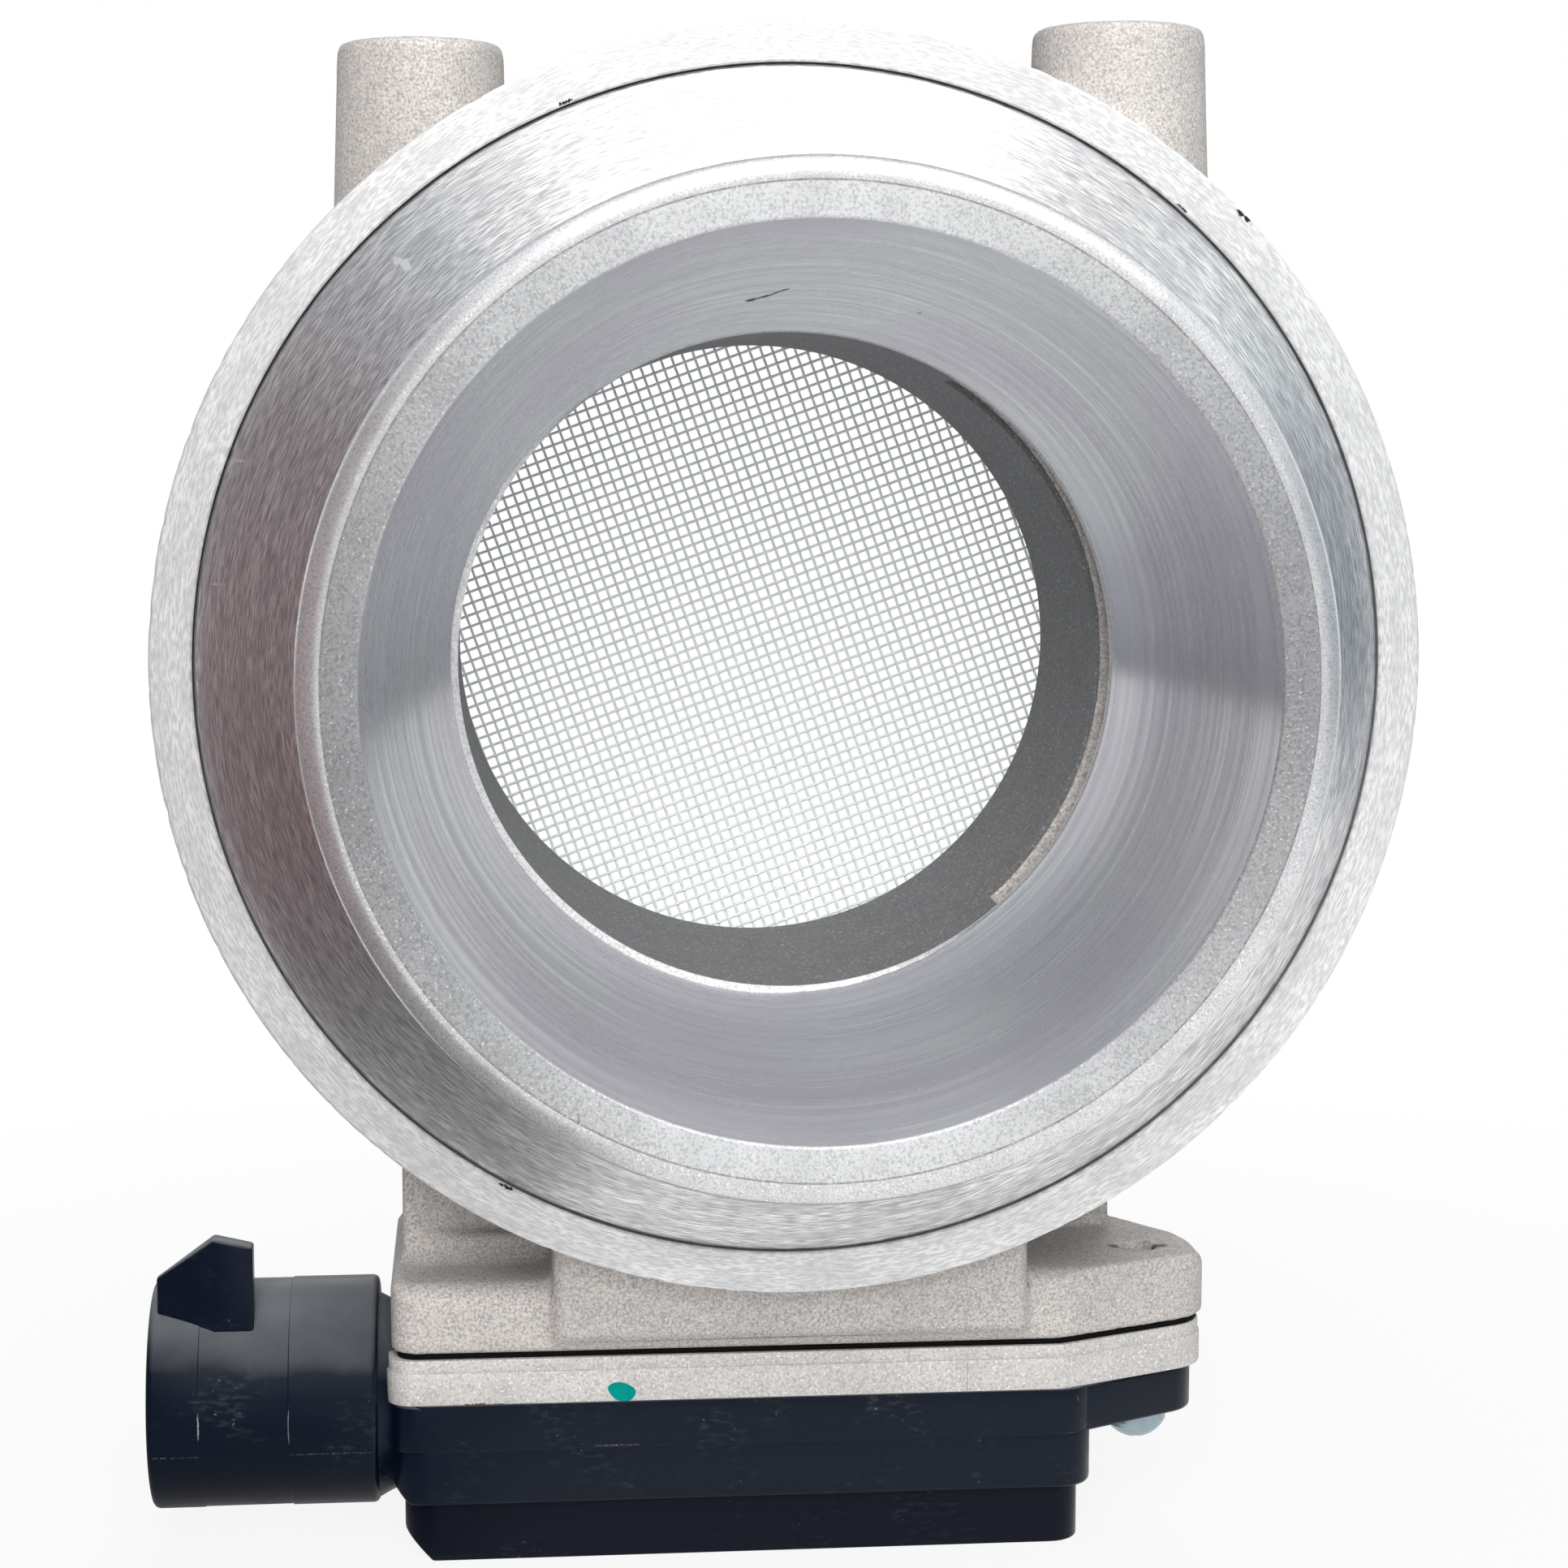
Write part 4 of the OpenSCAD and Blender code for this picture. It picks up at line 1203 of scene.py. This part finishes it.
@dataclass
class Studio:
    """Pale floor, soft lamps, toned cards for the metal to reflect, and the camera."""

    eye: Spot3 = (-32.98, -335.99, 22.22)
    aside: float = 5.406
    down: float = 5.815
    lens: float = 74.534
    film: float = 36.0
    clip: Span = (0.01, 20.0)
    floor_size: float = 6.0
    floor_tone: Colour = (0.6, 0.6, 0.6)
    floor_fade: Span = (0.12, 0.3)
    floor_shine: Span = (0.88, 1.0)
    room_light: float = 0.1

    def camera(self) -> None:
        """Puts the camera where the photograph was taken from."""
        data = bpy.data.cameras.new("camera")
        data.lens, data.sensor_width, data.sensor_height = self.lens, self.film, self.film
        data.clip_start, data.clip_end = self.clip
        camera = placed("camera", data)
        camera.location = Vector(self.eye) * MM
        camera.rotation_euler = (math.radians(90 - self.down), 0.0, math.radians(-self.aside))
        bpy.context.scene.camera = camera

    def glow(self, recipe: Recipe, colour: Socket | Colour, share: Socket | float) -> None:
        """Lets a surface shine by itself.

        Args:
            recipe: Recipe of the surface.
            colour: Colour that it shines with.
            share: Share of the shine in what is seen of it.
        """
        tone = colour if isinstance(colour, Socket) else (*colour, 1.0)
        shine = recipe.node("Emission", {"Color": tone, "Strength": 1.0})
        both = recipe.node("MixShader", {0: share, 1: recipe.shader.outputs[0], 2: shine.outputs[0]})
        recipe.tree.links.new(both.outputs[0], recipe.tree.nodes["Material Output"].inputs["Surface"])

    def floor(self) -> None:
        """Lays a plain white floor that keeps a faint shadow and fades into the background."""
        let_go()
        bpy.ops.mesh.primitive_plane_add(size=self.floor_size, location=(0, 0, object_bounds()[0][2]))
        floor = named("floor")
        recipe = Recipe("floor_white")
        away = recipe.level(recipe.vector("LENGTH", {0: recipe.place}, "Value"), self.floor_fade, self.floor_shine)
        paper = recipe.shade(Base_Color=self.floor_tone, Roughness=0.9)
        self.glow(recipe, WHITE, recipe.maths("MULTIPLY", recipe.seen, away))
        dress(floor, paper)
        floor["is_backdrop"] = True

    def card(self, name: str, low: Spot3, high: Spot3, side: Spot3, tones: Sequence[tuple[float, Colour]]) -> None:
        """Stands up a card that only reflections see.

        Args:
            name: Name of the card.
            low: Middle of its lower edge, in metres.
            high: Middle of its upper edge.
            side: Half of its width, as a direction.
            tones: Share of the way from the lower to the upper edge, and colour there, of each tone.
        """
        low, high, side = Vector(low), Vector(high), Vector(side)
        card = chain(name, [low - side, low + side, high + side, high - side])
        bpy.ops.mesh.edge_face_add()
        let_go()
        recipe = Recipe(name)
        way = high - low
        off = recipe.vector("SUBTRACT", {0: recipe.place, 1: low})
        share = recipe.vector("DOT_PRODUCT", {0: off, 1: way / way.length_squared}, "Value")
        skin = tones[0][1]
        for (start, _), (end, colour) in zip(tones, tones[1:]):
            skin = recipe.blend(recipe.level(share, (start, end)), skin, colour)
        self.glow(recipe, skin, 1.0)
        dress(card, recipe.material)
        card.visible_camera = card.visible_diffuse = card.visible_shadow = False
        card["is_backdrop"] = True

    def cards(self) -> None:
        """Stands the darker sides of the room round the part: left, low, right, in front and at the back; the lower
        back card is painted shade, the part's shadow on the floor as reflections see it.
        """
        grey, warm, blue, foot = (0.27, 0.27, 0.29), (0.2, 0.195, 0.2), (0.42, 0.45, 0.48), -0.0975
        self.card("card_left", (-0.105, -0.155, foot), (-0.22, -0.155, 0.32), (0, 0.205, 0),
                  ((0.0, warm), (0.12, (0.21, 0.155, 0.16)), (0.23, (0.26, 0.2, 0.205)), (0.4, (0.29, 0.25, 0.255)),
                   (0.6, (0.46, 0.46, 0.48)), (0.8, (0.58, 0.6, 0.62)), (1.0, (0.8, 0.82, 0.84))))
        self.card("card_under", (-0.03, -0.07, -0.0972), (-0.105, -0.07, -0.0972), (0, 0.13, 0),
                  ((0.0, (0.9, 0.9, 0.9)), (0.2, (0.4, 0.39, 0.39)), (1.0, warm)))
        self.card("card_right", (0.3, -0.12, foot), (0.3, -0.12, 0.35), (0, 0.24, 0),
                  ((0.0, (0.7, 0.72, 0.74)), (0.22, (0.28, 0.32, 0.36)), (0.44, (0.5, 0.55, 0.59)),
                   (0.7, (0.95, 1.0, 1.0)), (1.0, WHITE)))
        self.card("card_front", (0.0, -0.75, -0.08), (0.0, -0.75, 0.5), (1.0, 0, 0),
                  ((0.0, grey), (0.17, grey), (0.32, WHITE), (1.0, WHITE)))
        # the lower back card stands in for the floor behind the part in its shadow: painted shade that only
        # reflections see
        self.card("card_back", (0.0, 0.25, foot), (0.0, 0.25, -0.014), (0.3, 0, 0),
                  ((0.0, (0.6, 0.62, 0.64)), (0.7, (0.32, 0.34, 0.36)), (0.93, (0.1, 0.11, 0.12)),
                   (1.0, (0.05, 0.055, 0.06))))
        self.card("card_high", (0.0, 0.25, 0.05), (0.0, 0.25, 0.5), (0.3, 0, 0),
                  ((0.0, WHITE), (0.15, blue), (1.0, blue)))

    def lamp(self, name: str, place: Spot3, size: float, power: float, mirrored: bool = False) -> None:
        """Hangs a square soft lamp that points at the part.

        Args:
            name: Name of the lamp.
            place: Where it hangs, in metres.
            size: Length of its sides, in metres.
            power: Its power, in watts.
            mirrored: Whether glossy surfaces show it.
        """
        data = bpy.data.lights.new(name, "AREA")
        data.shape, data.size, data.energy = "SQUARE", size, power
        lamp = placed(name, data)
        lamp.visible_glossy = mirrored
        lamp.location = place
        lamp.rotation_euler = Vector(place).to_track_quat("Z", "Y").to_euler()

    def world(self) -> None:
        """Makes the surroundings white to look at and dim as a light."""
        world = bpy.data.worlds.new("white_room")
        world.use_nodes = True
        bpy.context.scene.world = world
        world.node_tree.nodes.clear()
        room = Tree(world.node_tree)
        dim, bright = (room.node("Background", {0: (*WHITE, 1.0), 1: strength}).outputs[0]
                       for strength in (self.room_light, 1.0))
        both = room.node("MixShader", {0: room.seen, 1: dim, 2: bright})
        room.node("OutputWorld", {0: both.outputs[0]})

    def build(self) -> None:
        """Sets up the whole studio."""
        self.camera()
        self.floor()
        self.world()
        self.lamp("soft_top", (0.12, -0.4, 0.86), 1.0, 5.0, mirrored=True)
        self.lamp("soft_front", (-0.05, -0.9, 0.5), 0.5, 10.4)
        self.lamp("soft_fill", (-0.05, -1.0, 0.03), 0.4, 3.5)
        self.lamp("soft_back", (0.1, 0.9, 0.5), 0.5, 5.0)
        self.cards()
        bpy.context.scene.view_settings.view_transform = "Standard"


def main() -> None:
    """Builds the part and the studio."""
    logging.basicConfig(level=logging.INFO, format="%(name)s %(message)s")
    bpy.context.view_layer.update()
    for part in (Nozzle(), Casting(), Screen(), Module(), SmallParts(), Studio()):
        log.info("making %s", type(part).__name__)
        part.build()


if __name__ == "__main__":
    main()
